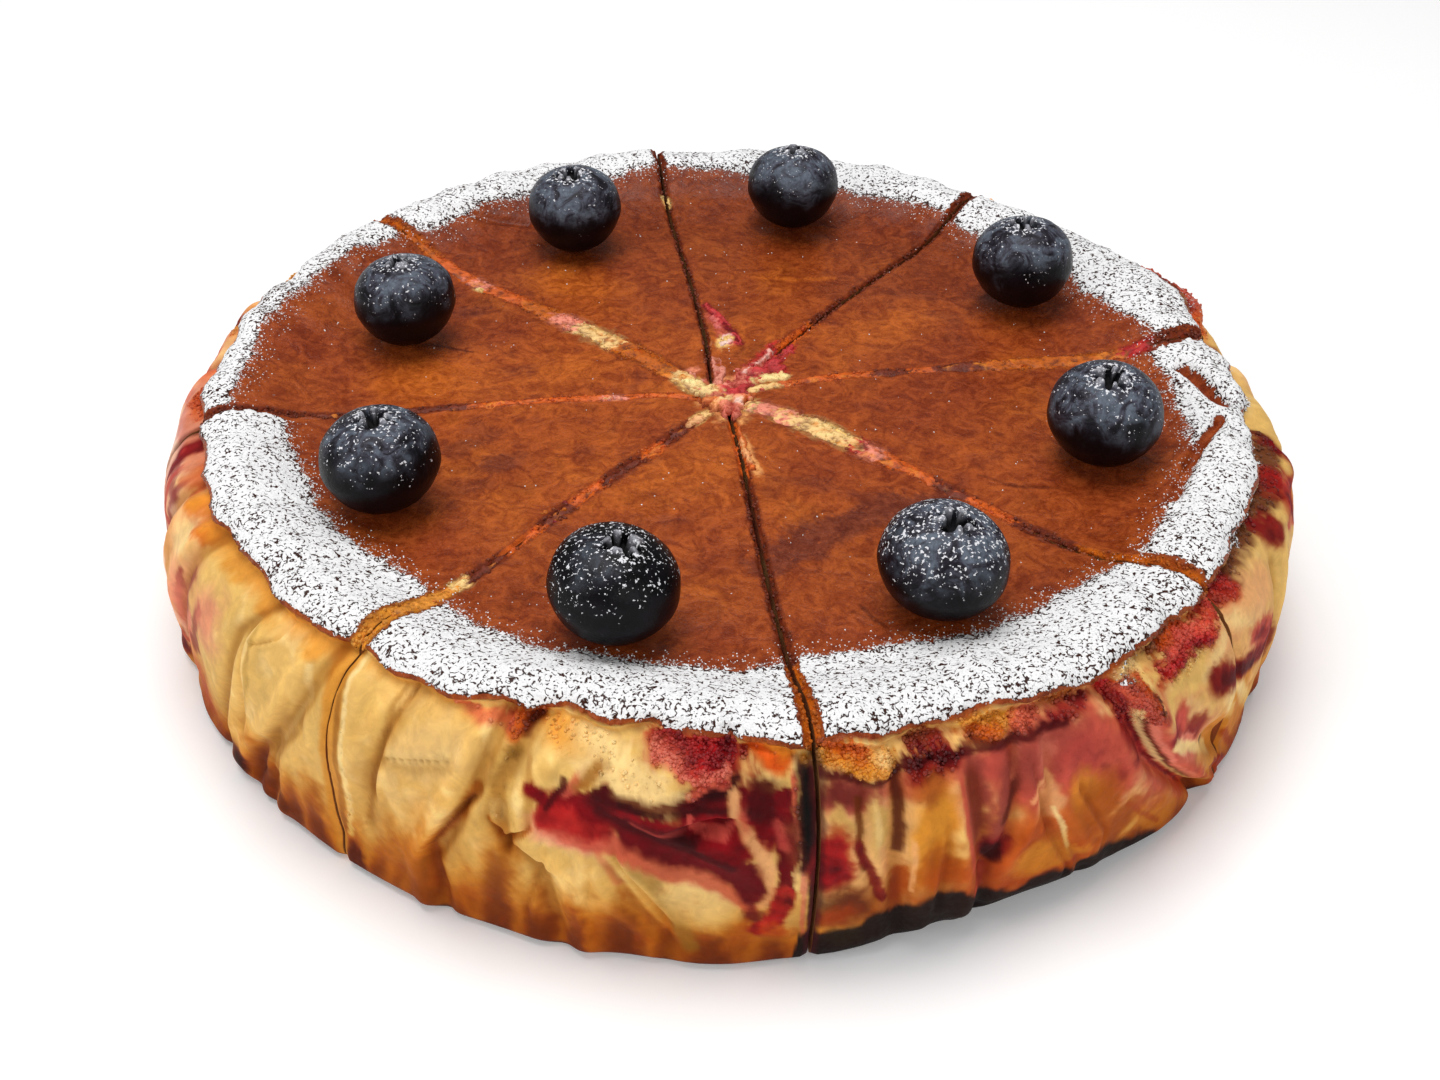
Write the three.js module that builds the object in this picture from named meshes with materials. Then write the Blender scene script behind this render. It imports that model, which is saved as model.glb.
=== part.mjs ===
import * as THREE from 'three';

// A round baked cheesecake of 200 mm, cut into eight slices that still stand together,
// with one large berry on each slice.
// Millimetres and degrees. Azimuth 0 is +X, -90 is the front, and heights start at the base.

// Driving dimensions of the cake
const WALL_RADIUS = 99.9; // outer radius, where the wall bulges most
const LIP_INSET = 8.6; // the crust's sharp edge lies this far inside the wall
const FLAT_RADIUS = 68; // the sunken middle of the crust is flat out to here
const TOP_LEVEL = 36; // height of the sunken middle
const CREST_LEVEL = 40.5; // height of the raised rim
const CROSSING = [-0.4, 1.8]; // where the cuts cross, seen from the pole of the wall
const MIDDLE = [0.95, 0.97]; // middle of the whole cake, seen from the pole of the wall

// Driving dimensions of the cuts
const KNIFE = 0.35; // half of the gap that the knife left
const TIP_RADIUS = 1.8; // the slices' tips end this far from the crossing
const GROOVE_SLOPE = 1.1; // how steeply the torn crust falls into a cut
const WALL_TEAR = 0.6; // how far the torn edge draws in at the wall, over how far it is torn back
const SOUND_MARGIN = 0.15; // the sound crust stays this far from a cut face
const STEEPEST_SWAY = 0.24; // a cut sways by at most this share of the distance from the crossing

// Driving dimensions of the berries
const BERRY_CLEARANCE = 0.3; // between a berry and the crust that it rests on
const BERRY_SIDES = 20; // four for each lobe of the crown
const CROWN_LOBES = 5;

// Fineness: degrees between columns on the wall and the rim
const FRONT_STEP = 1.32;
const BACK_STEP = 1.55;

// The cuts, clockwise round the crossing. toward is where a cut ends at the rim. At the distances
// in CUT_AT, aside is how far it sways counterclockwise, and groove how far the crust is torn back.
const CUT_AT = [6, 20, 40, 60, 78, 90];
const CUTS = [
  { toward: 100.1, aside: [1.2, 0, -0.3, -0.1, 0.3, 0], groove: [0.4, 0.5, 0.5, 0.5, 0.6, 0.7] },
  { toward: 54.7, aside: [-0.5, 0.9, 1.7, 1.2, 0.1, 0], groove: [0.8, 0.9, 0.7, 0.6, 0.7, 0.9] },
  { toward: 12.6, aside: [1.3, 2.3, 2.2, 0.9, -1.0, 0], groove: [0.5, 0.5, 0.6, 1.2, 1.2, 1.3] },
  { toward: -35.7, aside: [0.9, 1.8, 1.3, -0.7, -1.4, 0], groove: [1.2, 1.5, 1.0, 0.7, 0.9, 1.2] },
  { toward: -81.2, aside: [0.5, 0.7, 0.1, -0.2, -0.1, 0], groove: [0.7, 0.7, 0.7, 0.7, 0.8, 0.9] },
  { toward: -125.1, aside: [0.9, 0.7, -0.2, -0.1, -0.3, 0], groove: [0.6, 0.9, 0.8, 0.6, 0.9, 1.1] },
  { toward: -169.4, aside: [-0.6, -2.0, -2.5, -2.3, -1.7, 0], groove: [0.4, 0.4, 0.4, 0.4, 0.6, 0.7] },
  { toward: -218.1, aside: [0.6, -0.4, -0.5, 0.4, -0.1, 0], groove: [1.2, 1.5, 1.4, 1.0, 1.0, 1.2] },
];

// The berries, one for each slice: place, radius and the lean of the crown in degrees
const BERRIES = [
  { azimuth: 79.1, out: 68.9, radius: 9.5, lean: [-6, 5] },
  { azimuth: 33.5, out: 68.5, radius: 9.8, lean: [-4, 6] },
  { azimuth: -12.8, out: 66.5, radius: 9.8, lean: [-7, 2] },
  { azimuth: -59.2, out: 65.8, radius: 10.0, lean: [-8, -3] },
  { azimuth: -103.7, out: 66.1, radius: 9.9, lean: [-9, 4] },
  { azimuth: -148.5, out: 64.9, radius: 9.7, lean: [-2, -3] },
  { azimuth: -196.8, out: 62.3, radius: 9.4, lean: [-6, 0] },
  { azimuth: -240.8, out: 64.2, radius: 9.5, lean: [-5, -2] },
];

// Rows of the skin from the top of the tip over the rim and down to the bottom of the tip.
// columns is the number across a slice, and 0 the fine number. Round the tip r is measured from
// the crossing, and further out from the pole of the wall.
const ROWS = [
  { zone: 'tip', r: TIP_RADIUS, z: TOP_LEVEL - 1.2, columns: 1 },
  { zone: 'tip', r: 7, z: TOP_LEVEL - 0.3, columns: 1 },
  { zone: 'tip', r: 20, z: TOP_LEVEL, columns: 3 },
  { zone: 'top', r: 39, z: TOP_LEVEL, columns: 5 },
  { zone: 'top', r: 55, z: TOP_LEVEL, columns: 9 },
  { zone: 'top', r: FLAT_RADIUS, z: TOP_LEVEL + 0.1, columns: 18 },
  { zone: 'rim', share: 0.3, z: TOP_LEVEL + 1.2, columns: 0 },
  { zone: 'rim', share: 0.53, z: TOP_LEVEL + 3.1, columns: 0 },
  { zone: 'rim', share: 0.77, z: CREST_LEVEL, columns: 0 },
  { zone: 'rim', share: 0.93, z: CREST_LEVEL - 0.6, columns: 0 },
  { zone: 'rim', share: 1, z: CREST_LEVEL - 2, columns: 0 },
  { zone: 'shoulder', share: 0.04, z: CREST_LEVEL - 3.1, columns: 0 },
  { zone: 'shoulder', share: 0.42, z: 35.4, columns: 0 },
  { zone: 'shoulder', share: 0.75, z: 31.4, columns: 0 },
  { zone: 'shoulder', share: 0.93, z: 26.8, columns: 0 },
  { zone: 'wall', inset: 0.1, z: 21.8, columns: 0 },
  { zone: 'wall', inset: 0, z: 16.5, columns: 0 },
  { zone: 'wall', inset: 0.2, z: 11, columns: 0 },
  { zone: 'wall', inset: 0.8, z: 5.6, columns: 0 },
  { zone: 'wall', inset: 1.8, z: 1.8, columns: 0 },
  { zone: 'wall', inset: 3.3, z: 0, columns: 0 },
  { zone: 'base', r: 80, z: 0, columns: 9 },
  { zone: 'base', r: 58, z: 0, columns: 4 },
  { zone: 'base', r: 39, z: 0, columns: 2 },
  { zone: 'tip', r: 20, z: 0, columns: 1 },
  { zone: 'tip', r: 7, z: 0, columns: 1 },
  { zone: 'tip', r: TIP_RADIUS, z: 0, columns: 1 },
];

// Where the outer edge of the crust draws in or bulges: azimuth, half width in degrees, millimetres
const LIP_CHANGES = [
  [-99, 11, -2.9],
  [-83, 3, 1.5],
  [-51, 10, 1.6],
  [-105, 1.6, -1.4],
  [27, 9, 3.4],
  [104, 58, 2.6],
];

// Where the rim stands higher: azimuth, half width in degrees, millimetres
const RIM_RISES = [
  [104, 60, 1.5],
];

// Folds that the baking paper pressed into the wall: depth, width, the side that stands out, where
// 1 is the right as seen from outside, and the path as height and azimuth from the top down.
const fold = (depth, width, raised, ...path) => ({ depth, width, raised, path });
const FOLDS = [
  fold(1.3, 1.7, 1, [40, -135.5], [32, -139.6], [23, -140.7], [12, -143.4], [2, -145]),
  fold(1.5, 1.8, -1, [40, -127.2], [30, -129], [22, -131.9], [13, -136.3], [4, -139]),
  fold(0.9, 1.4, 1, [24, -129.6], [16, -133.5], [3, -136]),
  fold(1.3, 2.2, -1, [38, -150], [20, -154], [4, -157]),
  fold(1.3, 2.2, 1, [36, -160], [18, -163], [3, -164]),
  fold(0.9, 1.9, -1, [37, -118], [25, -120.9], [14, -121.6]),
  fold(1.6, 1.5, -1, [41, -108.8], [32, -109.9], [22, -112], [12, -114.8], [3, -114.3]),
  fold(1.4, 1.9, 1, [42, -107], [36, -106.6], [30, -108.4], [21, -107.4], [17, -104.5], [3, -103]),
  fold(0.9, 1.6, -1, [20, -98.5], [12, -96], [5, -93.4]),
  fold(1.3, 1.6, 1, [34, -74.6], [24, -74.8], [13, -74.4], [5, -73.6]),
  fold(1.3, 1.5, -1, [31, -67.7], [20, -66.8], [10, -65.8], [3, -65.4]),
  fold(1.1, 1.5, 1, [34, -63.6], [20, -64.4], [15, -65.8]),
  fold(0.8, 1.5, 1, [31, -60.3], [22, -60.8], [14, -58], [4, -54.5]),
  fold(2.7, 1.8, 1, [41, -55], [32, -51.5], [21, -48.2], [14, -44.4], [9, -41.6], [3, -37.5]),
  fold(1.2, 2.2, 1, [30, -22], [16, -24], [4, -23]),
  fold(1.2, 2.2, -1, [34, -4], [18, -7], [3, -6]),
];

// Folds round the back, spaced unevenly by formula
const BACK_FOLDS = { from: 12, to: 184, step: 8.6, sway: 2.3, lean: 3.2, depth: 1.2, width: 2 };

// Swellings, torn flaps and hollows of the wall: azimuth, height, half length and half width in
// millimetres, how far out or in, and the lean of the long side in degrees
const LUMPS = [
  { azimuth: -101, z: 36.5, long: 6.5, wide: 4.5, out: 1.6, lean: 0 }, // crumbly patch under the lip
  { azimuth: -94.5, z: 30, long: 6, wide: 3, out: 1.0, lean: -15 },
  { azimuth: -92.5, z: 36, long: 5.5, wide: 4.2, out: 1.4, lean: 0 }, // crumbly patch with fruit
  { azimuth: -85.6, z: 37, long: 4.4, wide: 1.9, out: 1.5, lean: -12 }, // corner of crust that droops
  { azimuth: -90, z: 28.3, long: 5.5, wide: 1.5, out: -2.6, lean: 8 }, // crevice under the patch
  { azimuth: -96, z: 25, long: 14, wide: 2.8, out: -1.5, lean: -24 }, // gash of fruit
  { azimuth: -85.5, z: 26, long: 7, wide: 3, out: -1.5, lean: 90 }, // hollow beside the cut
  { azimuth: -77.3, z: 38.2, long: 5.6, wide: 3.1, out: 2.2, lean: -8 }, // torn flap of crust
  { azimuth: -65.3, z: 38.4, long: 5.4, wide: 2.8, out: 2.0, lean: 8 }, // torn flap of crust
  { azimuth: -71.3, z: 35.5, long: 3, wide: 3, out: -1.2, lean: 0 },
  { azimuth: -60, z: 31, long: 6, wide: 8, out: -0.9, lean: 0 },
  { azimuth: -50, z: 35, long: 9, wide: 2.3, out: 2.5, lean: -53 }, // ridge of crust that hangs down
  { azimuth: -42, z: 35, long: 8, wide: 5, out: -0.9, lean: 0 },
  { azimuth: -39, z: 24, long: 6, wide: 4, out: 1.0, lean: -30 },
  { azimuth: -37.5, z: 14.5, long: 6, wide: 3, out: -1.9, lean: -45 }, // pocket of fruit
  { azimuth: -36.5, z: 8.5, long: 8, wide: 1.6, out: 1.2, lean: -35 },
  { azimuth: -64, z: 0, long: 26, wide: 4.4, out: -3.2, lean: 0 }, // burnt hollow at the base
  { azimuth: -8, z: 34, long: 15, wide: 3, out: 1.4, lean: 0 },
  { azimuth: 27, z: 36.8, long: 15, wide: 2.6, out: 3.6, lean: 0 }, // ledge outside the rim
  { azimuth: -4, z: 22, long: 19, wide: 15, out: 1.0, lean: 0 },
  { azimuth: -164, z: 33, long: 7, wide: 5, out: 0.9, lean: 0 },
];

// Breaks in the rim: ends on the crust, seen from the pole of the wall, half width and depth
const BREAKS = [
  { from: [84, 10], to: [88.5, -1.5], width: 2.1, depth: 3.0 },
  { from: [87, -7.5], to: [79.5, -19.5], width: 1.5, depth: 1.5 },
  { from: [79.5, -19.5], to: [74.5, -30], width: 1.5, depth: 1.6 },
  { from: [-57, 62], to: [-42, 63], width: 1.5, depth: 0.9 },
];

const RADIANS = Math.PI / 180;
const WALL_DEGREE = WALL_RADIUS * RADIANS; // length of one degree along the wall

const bell = (x) => Math.exp(-x * x);
const clamp = (x, low, high) => Math.min(high, Math.max(low, x));
const degreesOf = (sine) => Math.asin(clamp(sine, -1, 1)) / RADIANS;
const wave = (azimuth, count, phase) => Math.sin(count * azimuth * RADIANS + phase);
const turnFrom = (azimuth, other) => azimuth - other - 360 * Math.round((azimuth - other) / 360);
const changeAt = (changes, azimuth) => changes.reduce(
  (sum, [at, width, change]) => sum + change * bell(turnFrom(azimuth, at) / width),
  0,
);

// Straight lines through points that rise or fall steadily in their first number
function through(points, x) {
  const steps = points[0][0] < points[points.length - 1][0] ? points : [...points].reverse();
  const inside = clamp(x, steps[0][0], steps[steps.length - 1][0]);
  const next = Math.max(1, steps.findIndex((point) => point[0] >= inside));
  const [x0, y0] = steps[next - 1];
  const [x1, y1] = steps[next];
  return y0 + ((y1 - y0) * (inside - x0)) / (x1 - x0);
}

function wallRadius(azimuth) {
  const a = azimuth * RADIANS;
  return WALL_RADIUS + 0.9 * Math.cos(a) + 0.6 * Math.sin(a) + 0.6 * Math.cos(2 * a);
}

function lipRadius(azimuth) {
  const waves = 0.5 * wave(azimuth, 18, 0) + 0.35 * wave(azimuth, 47, 1);
  return wallRadius(azimuth) - LIP_INSET + waves + changeAt(LIP_CHANGES, azimuth);
}

// One fold: a groove with a raised side, fading at both ends
function foldHeight({ path, depth, width, raised }, azimuth, z) {
  const beyond = Math.max(0, z - path[0][0], path[path.length - 1][0] - z);
  const across = turnFrom(azimuth, through(path, z)) * WALL_DEGREE;
  const ridge = 0.55 * bell((across - raised * 2.1 * width) / (1.2 * width));
  return depth * bell(beyond / 3) * (ridge - bell(across / width));
}

function backFolds() {
  const { from, to, step, sway, lean, depth, width } = BACK_FOLDS;
  const folds = [];
  for (let i = 0; from + i * step < to; i += 1) {
    const azimuth = from + i * step + sway * Math.sin(i * 2.4);
    const aside = lean * Math.sin(i * 1.7);
    const top = 37 - 4 * Math.sin(i * 1.3);
    const thisDepth = depth + 0.45 * Math.sin(i * 3.1);
    const thisWidth = width + 0.4 * Math.sin(i * 2.7);
    folds.push(fold(thisDepth, thisWidth, i % 2 ? 1 : -1, [top, azimuth - aside], [4, azimuth + aside]));
  }
  return folds;
}

const ALL_FOLDS = [...FOLDS, ...backFolds()];

function lumpHeight(lump, azimuth, z) {
  const across = turnFrom(azimuth, lump.azimuth) * WALL_DEGREE;
  const up = z - lump.z;
  const lean = lump.lean * RADIANS;
  const along = across * Math.cos(lean) + up * Math.sin(lean);
  const beside = up * Math.cos(lean) - across * Math.sin(lean);
  const far = (along / lump.long) ** 2 + (beside / lump.wide) ** 2;
  return lump.out * Math.exp(-(far ** 1.5));
}

// How far the wall stands out or in at a place
function wallRelief(azimuth, z) {
  let relief = 0.35 * wave(azimuth, 27, 0) * wave(azimuth, 3, z * 0.17);
  for (const one of ALL_FOLDS) relief += foldHeight(one, azimuth, z);
  for (const lump of LUMPS) relief += lumpHeight(lump, azimuth, z);
  return relief;
}

function breakDepth(crack, x, y) {
  const [x0, y0] = crack.from;
  const [dx, dy] = [crack.to[0] - x0, crack.to[1] - y0];
  const along = clamp(((x - x0) * dx + (y - y0) * dy) / (dx * dx + dy * dy), 0, 1);
  const away = Math.hypot(x - x0 - along * dx, y - y0 - along * dy);
  return crack.depth * bell(away / crack.width);
}

// Radius and height of the skin, for a row at an azimuth
function skin(row, azimuth) {
  const lip = lipRadius(azimuth);
  const wall = wallRadius(azimuth);
  if (row.zone === 'rim') {
    const r = FLAT_RADIUS + row.share * (lip - FLAT_RADIUS);
    const x = r * Math.cos(azimuth * RADIANS);
    const y = r * Math.sin(azimuth * RADIANS);
    const waves = 0.3 * wave(azimuth, 22, 0) + 0.25 * wave(azimuth, 54, r * 0.2);
    const broken = BREAKS.reduce((sum, crack) => sum + breakDepth(crack, x, y), 0);
    return { r, z: row.z + row.share * (waves + changeAt(RIM_RISES, azimuth)) - broken };
  }
  if (row.zone === 'shoulder') {
    const relief = wallRelief(azimuth, row.z) * Math.min(1, 0.4 + 2 * row.share);
    return { r: lip + row.share * (wall - lip) + relief, z: row.z };
  }
  if (row.zone === 'wall') return { r: wall - row.inset + wallRelief(azimuth, row.z), z: row.z };
  return { r: row.r, z: row.z };
}

const alongCut = (numbers, distance) => through(CUT_AT.map((at, i) => [at, numbers[i]]), distance);

// The skin of a row in a direction from the crossing
function spotToward(row, direction) {
  const [ux, uy] = [Math.cos(direction * RADIANS), Math.sin(direction * RADIANS)];
  if (row.zone === 'tip') {
    return { x: CROSSING[0] + row.r * ux, y: CROSSING[1] + row.r * uy, z: row.z, distance: row.r };
  }
  const before = CROSSING[0] * ux + CROSSING[1] * uy;
  const beside = CROSSING[0] ** 2 + CROSSING[1] ** 2 - before ** 2;
  let azimuth = direction;
  let distance = 0;
  let z = row.z;
  for (let i = 0; i < 3; i += 1) {
    const found = skin(row, azimuth);
    distance = Math.sqrt(found.r ** 2 - beside) - before;
    z = found.z;
    const turned = Math.atan2(CROSSING[1] + distance * uy, CROSSING[0] + distance * ux) / RADIANS;
    azimuth = turned + 360 * Math.round((direction - turned) / 360);
  }
  return { x: CROSSING[0] + distance * ux, y: CROSSING[1] + distance * uy, z, distance };
}

// Direction of a place beside a cut, at the distance where the cut meets a row
function besideCut(row, cut, sideways) {
  const { distance } = spotToward(row, cut.toward);
  const most = STEEPEST_SWAY * distance;
  const aside = clamp(alongCut(cut.aside, distance), -most, most);
  return cut.toward + degreesOf((aside + sideways) / distance);
}

// How far the crust is torn back where a cut meets a row
function tornBack(row, cut) {
  if (row.zone === 'tip' && row.columns === 1) return 0;
  return alongCut(cut.groove, row.r || WALL_RADIUS);
}

// The points of one row across a slice, from one cut to the next. The first and last lie on the
// cut faces, and the next ones in are where the torn edge of the crust meets the sound skin.
function rowPoints(row, low, high, fine) {
  const columns = row.columns || fine;
  const onTop = row.zone === 'rim' || row.zone === 'top' || (row.zone === 'tip' && row.z > 0);
  const onWall = row.zone === 'shoulder' || row.zone === 'wall';
  const places = [{ direction: besideCut(row, low, KNIFE), torn: 0 }];
  if (row.r !== TIP_RADIUS) {
    const [lowTorn, highTorn] = [tornBack(row, low), tornBack(row, high)];
    const from = besideCut(row, low, KNIFE + lowTorn + SOUND_MARGIN);
    const to = besideCut(row, high, -KNIFE - highTorn - SOUND_MARGIN);
    for (let i = 0; i <= columns; i += 1) {
      places.push({ direction: from + ((to - from) * i) / columns, torn: 0 });
    }
    places[0].torn = lowTorn;
    places.push({ direction: besideCut(row, high, -KNIFE), torn: highTorn });
  } else {
    places.push({ direction: besideCut(row, high, -KNIFE), torn: 0 });
  }
  return places.map(({ direction, torn }) => {
    const spot = spotToward(row, direction);
    const inward = onWall ? (WALL_TEAR * torn) / spot.distance : 0;
    spot.x -= inward * (spot.x - CROSSING[0]);
    spot.y -= inward * (spot.y - CROSSING[1]);
    spot.z -= onTop ? GROOVE_SLOPE * torn : 0;
    return spot;
  });
}

// Triangles between two rows of points, whose numbers of points may differ
function zipRows(first, second, firstStart, secondStart, triangles) {
  let i = 0;
  let j = 0;
  while (i < first.length - 1 || j < second.length - 1) {
    const firstNext = i < first.length - 1 ? (i + 1) / (first.length - 1) : Infinity;
    const secondNext = j < second.length - 1 ? (j + 1) / (second.length - 1) : Infinity;
    if (firstNext <= secondNext) {
      triangles.push(firstStart + i, secondStart + j, firstStart + i + 1);
      i += 1;
    } else {
      triangles.push(firstStart + i, secondStart + j, secondStart + j + 1);
      j += 1;
    }
  }
}

function geometryOf(points, triangles) {
  const geometry = new THREE.BufferGeometry();
  const numbers = points.flatMap((point) => [point.x, point.y, point.z]);
  geometry.setAttribute('position', new THREE.Float32BufferAttribute(numbers, 3));
  geometry.setIndex(triangles);
  geometry.computeVertexNormals();
  return geometry;
}

// The cut faces are filled alike on both sides of a cut, from a plain profile. Its top and base
// are hollowed a little, so that the triangles run between them and follow a curved cut.
const PLAIN_PROFILE = ROWS.map((row) => {
  const lip = WALL_RADIUS - LIP_INSET;
  if (row.zone === 'rim') return new THREE.Vector2(FLAT_RADIUS + row.share * (lip - FLAT_RADIUS), row.z);
  if (row.zone === 'shoulder') return new THREE.Vector2(lip + row.share * LIP_INSET, row.z);
  if (row.zone === 'wall') return new THREE.Vector2(WALL_RADIUS - row.inset, row.z);
  const hollow = 3 * Math.sin((Math.PI * row.r) / WALL_RADIUS);
  return new THREE.Vector2(row.r, row.z > 0 ? row.z - hollow : hollow);
});
const FACE_TRIANGLES = THREE.ShapeUtils.triangulateShape(PLAIN_PROFILE, []);

// A slice between two cuts: the skin as a closed band of rows, and the two cut faces
function sliceGeometry(low, high, step) {
  const fine = Math.round((high.toward - low.toward) / step);
  const rows = ROWS.map((row) => rowPoints(row, low, high, fine));
  const points = [];
  const starts = rows.map((row) => points.push(...row) - row.length);
  const ends = rows.map((row, i) => starts[i] + row.length - 1);
  const triangles = [];
  rows.forEach((row, i) => {
    const next = (i + 1) % rows.length;
    zipRows(row, rows[next], starts[i], starts[next], triangles);
  });
  for (const [a, b, c] of FACE_TRIANGLES) {
    triangles.push(starts[a], starts[b], starts[c]);
    triangles.push(ends[a], ends[c], ends[b]);
  }
  return geometryOf(points, triangles);
}

// Rings of a berry from its underside to the floor of its crown: radius and height as shares of
// the berry's radius, and how far the crown's lobes stand out and up there
const BERRY_RINGS = [
  { r: 0.34, z: -0.79, out: 0, up: 0 },
  { r: 0.64, z: -0.62, out: 0, up: 0 },
  { r: 0.87, z: -0.34, out: 0, up: 0 },
  { r: 0.995, z: -0.02, out: 0, up: 0 },
  { r: 0.95, z: 0.33, out: 0, up: 0 },
  { r: 0.78, z: 0.6, out: 0, up: 0 },
  { r: 0.56, z: 0.76, out: 0, up: 0 },
  { r: 0.4, z: 0.81, out: 0.024, up: 0.016 },
  { r: 0.38, z: 0.86, out: 0.06, up: 0.04 }, // tips of the crown
  { r: 0.27, z: 0.78, out: 0.048, up: 0.032 },
  { r: 0.18, z: 0.66, out: 0, up: 0 },
];
const BERRY_BOTTOM = -0.85;
const CROWN_FLOOR = 0.64;

function berryGeometry({ radius, lean }, seed) {
  const points = [new THREE.Vector3(0, 0, BERRY_BOTTOM * radius)];
  for (const ring of BERRY_RINGS) {
    for (let i = 0; i < BERRY_SIDES; i += 1) {
      const turn = (2 * Math.PI * i) / BERRY_SIDES;
      const lobe = Math.cos(CROWN_LOBES * turn);
      const uneven = 1 + 0.014 * Math.sin(2 * turn + seed) + 0.01 * Math.sin(3 * turn + 2.3 * seed);
      const r = radius * (ring.r * uneven + ring.out * lobe);
      const z = radius * (ring.z + ring.up * lobe);
      points.push(new THREE.Vector3(r * Math.cos(turn), r * Math.sin(turn), z));
    }
  }
  points.push(new THREE.Vector3(0, 0, CROWN_FLOOR * radius));
  const last = points.length - 1;
  const triangles = [];
  for (let i = 0; i < BERRY_SIDES; i += 1) {
    const next = (i + 1) % BERRY_SIDES;
    triangles.push(0, 1 + next, 1 + i);
    for (let ring = 0; ring < BERRY_RINGS.length - 1; ring += 1) {
      const low = 1 + ring * BERRY_SIDES;
      const high = low + BERRY_SIDES;
      triangles.push(low + i, low + next, high + next);
      triangles.push(low + i, high + next, high + i);
    }
    triangles.push(last, last - BERRY_SIDES + i, last - BERRY_SIDES + next);
  }
  const turned = new THREE.Euler(lean[0] * RADIANS, lean[1] * RADIANS, seed);
  for (const point of points) point.applyEuler(turned);
  return geometryOf(points, triangles);
}

// Height of the crust at a place seen from the pole of the wall
function crustHeight(x, y) {
  const azimuth = Math.atan2(y, x) / RADIANS;
  const above = ROWS.filter(({ zone }) => zone === 'top' || zone === 'rim');
  const profile = above.map((row) => skin(row, azimuth)).map((spot) => [spot.r, spot.z]);
  return through(profile, Math.hypot(x, y));
}

function sliceMesh(number, low, high, step) {
  const crust = new THREE.MeshStandardMaterial({ color: 0xa1562c, roughness: 0.5, metalness: 0 });
  const mesh = new THREE.Mesh(sliceGeometry(low, high, step), crust);
  mesh.name = `slice_${number}`;
  return mesh;
}

function berryMesh(number, berry) {
  const skinColour = new THREE.MeshStandardMaterial({ color: 0x24252c, roughness: 0.55, metalness: 0 });
  const mesh = new THREE.Mesh(berryGeometry(berry, number), skinColour);
  const x = berry.out * Math.cos(berry.azimuth * RADIANS);
  const y = berry.out * Math.sin(berry.azimuth * RADIANS);
  const corners = mesh.geometry.getAttribute('position');
  let rest = 0;
  for (let i = 0; i < corners.count; i += 1) {
    const under = crustHeight(x + corners.getX(i), y + corners.getY(i));
    rest = Math.max(rest, under + BERRY_CLEARANCE - corners.getZ(i));
  }
  mesh.position.set(x, y, rest);
  mesh.name = `berry_${number}`;
  return mesh;
}

const cake = new THREE.Group();
CUTS.forEach((high, i) => {
  const next = CUTS[(i + 1) % CUTS.length];
  const low = { ...next, toward: i < CUTS.length - 1 ? next.toward : next.toward - 360 };
  const front = low.toward < 20 && low.toward > -175;
  cake.add(sliceMesh(i + 1, low, high, front ? FRONT_STEP : BACK_STEP));
});
BERRIES.forEach((berry, i) => cake.add(berryMesh(i + 1, berry)));
cake.position.set(-MIDDLE[0], -MIDDLE[1], 0);

export default cake;
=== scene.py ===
import math

import bpy
import numpy as np
from mathutils import Euler, Matrix, Vector


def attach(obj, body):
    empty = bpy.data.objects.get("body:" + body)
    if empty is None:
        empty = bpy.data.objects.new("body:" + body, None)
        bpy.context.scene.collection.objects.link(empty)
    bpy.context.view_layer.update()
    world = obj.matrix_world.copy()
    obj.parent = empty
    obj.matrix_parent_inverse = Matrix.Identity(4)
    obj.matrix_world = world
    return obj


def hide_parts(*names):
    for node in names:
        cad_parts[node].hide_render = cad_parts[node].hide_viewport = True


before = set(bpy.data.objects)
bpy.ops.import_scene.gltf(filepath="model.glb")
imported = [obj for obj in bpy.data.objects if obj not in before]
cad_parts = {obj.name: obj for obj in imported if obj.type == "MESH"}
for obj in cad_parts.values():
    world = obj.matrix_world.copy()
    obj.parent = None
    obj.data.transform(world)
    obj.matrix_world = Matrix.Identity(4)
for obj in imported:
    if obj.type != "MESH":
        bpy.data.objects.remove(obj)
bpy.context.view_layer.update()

# Driving dimensions in millimetres and degrees, as in the solids. Azimuth 0 is +X and -90 the front.
WALL_RADIUS = 99.9
LIP_INSET = 8.6
FLAT_RADIUS = 68.0
TOP_LEVEL = 36.0
LIP_LEVEL = 38.5
CROSSING = np.array([-0.4, 1.8])
MIDDLE = np.array([0.95, 0.97])
KNIFE = 0.35
TIP_RADIUS = 1.8
WALL_DEGREE = math.radians(WALL_RADIUS)
TIP_END = 9  # how far from the crossing a slice's tip is rounded off
TIP_SINK = 1.2
TOP, RIM, WALL, BASE = range(4)  # what a row of the skin belongs to
MM = 0.001  # in metres

LIP_CHANGES = [(-99, 11, -2.9), (-83, 3, 1.5), (-51, 10, 1.6), (-105, 1.6, -1.4), (27, 9, 3.4), (104, 58, 2.6)]
RIM_RISES = [(104, 60, 1.5)]
RIM_PROFILE = [(0, 36.1), (0.3, 37.2), (0.53, 39.1), (0.77, 40.5), (0.93, 39.9), (1, LIP_LEVEL)]
# how far below the lip the wall has reached its full radius, as height and share, and how it draws in
SHOULDER = [(0, 1), (22, 1), (26.8, 0.93), (31.4, 0.75), (35.4, 0.42), (37.4, 0.04), (38.5, 0)]
WALL_INSET = [(0, 3.3), (1.8, 1.8), (5.6, 0.8), (11, 0.2), (16.5, 0), (40, 0)]


def fold(depth, width, raised, *path):
    return dict(depth=depth, width=width, raised=raised, path=path)


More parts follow.
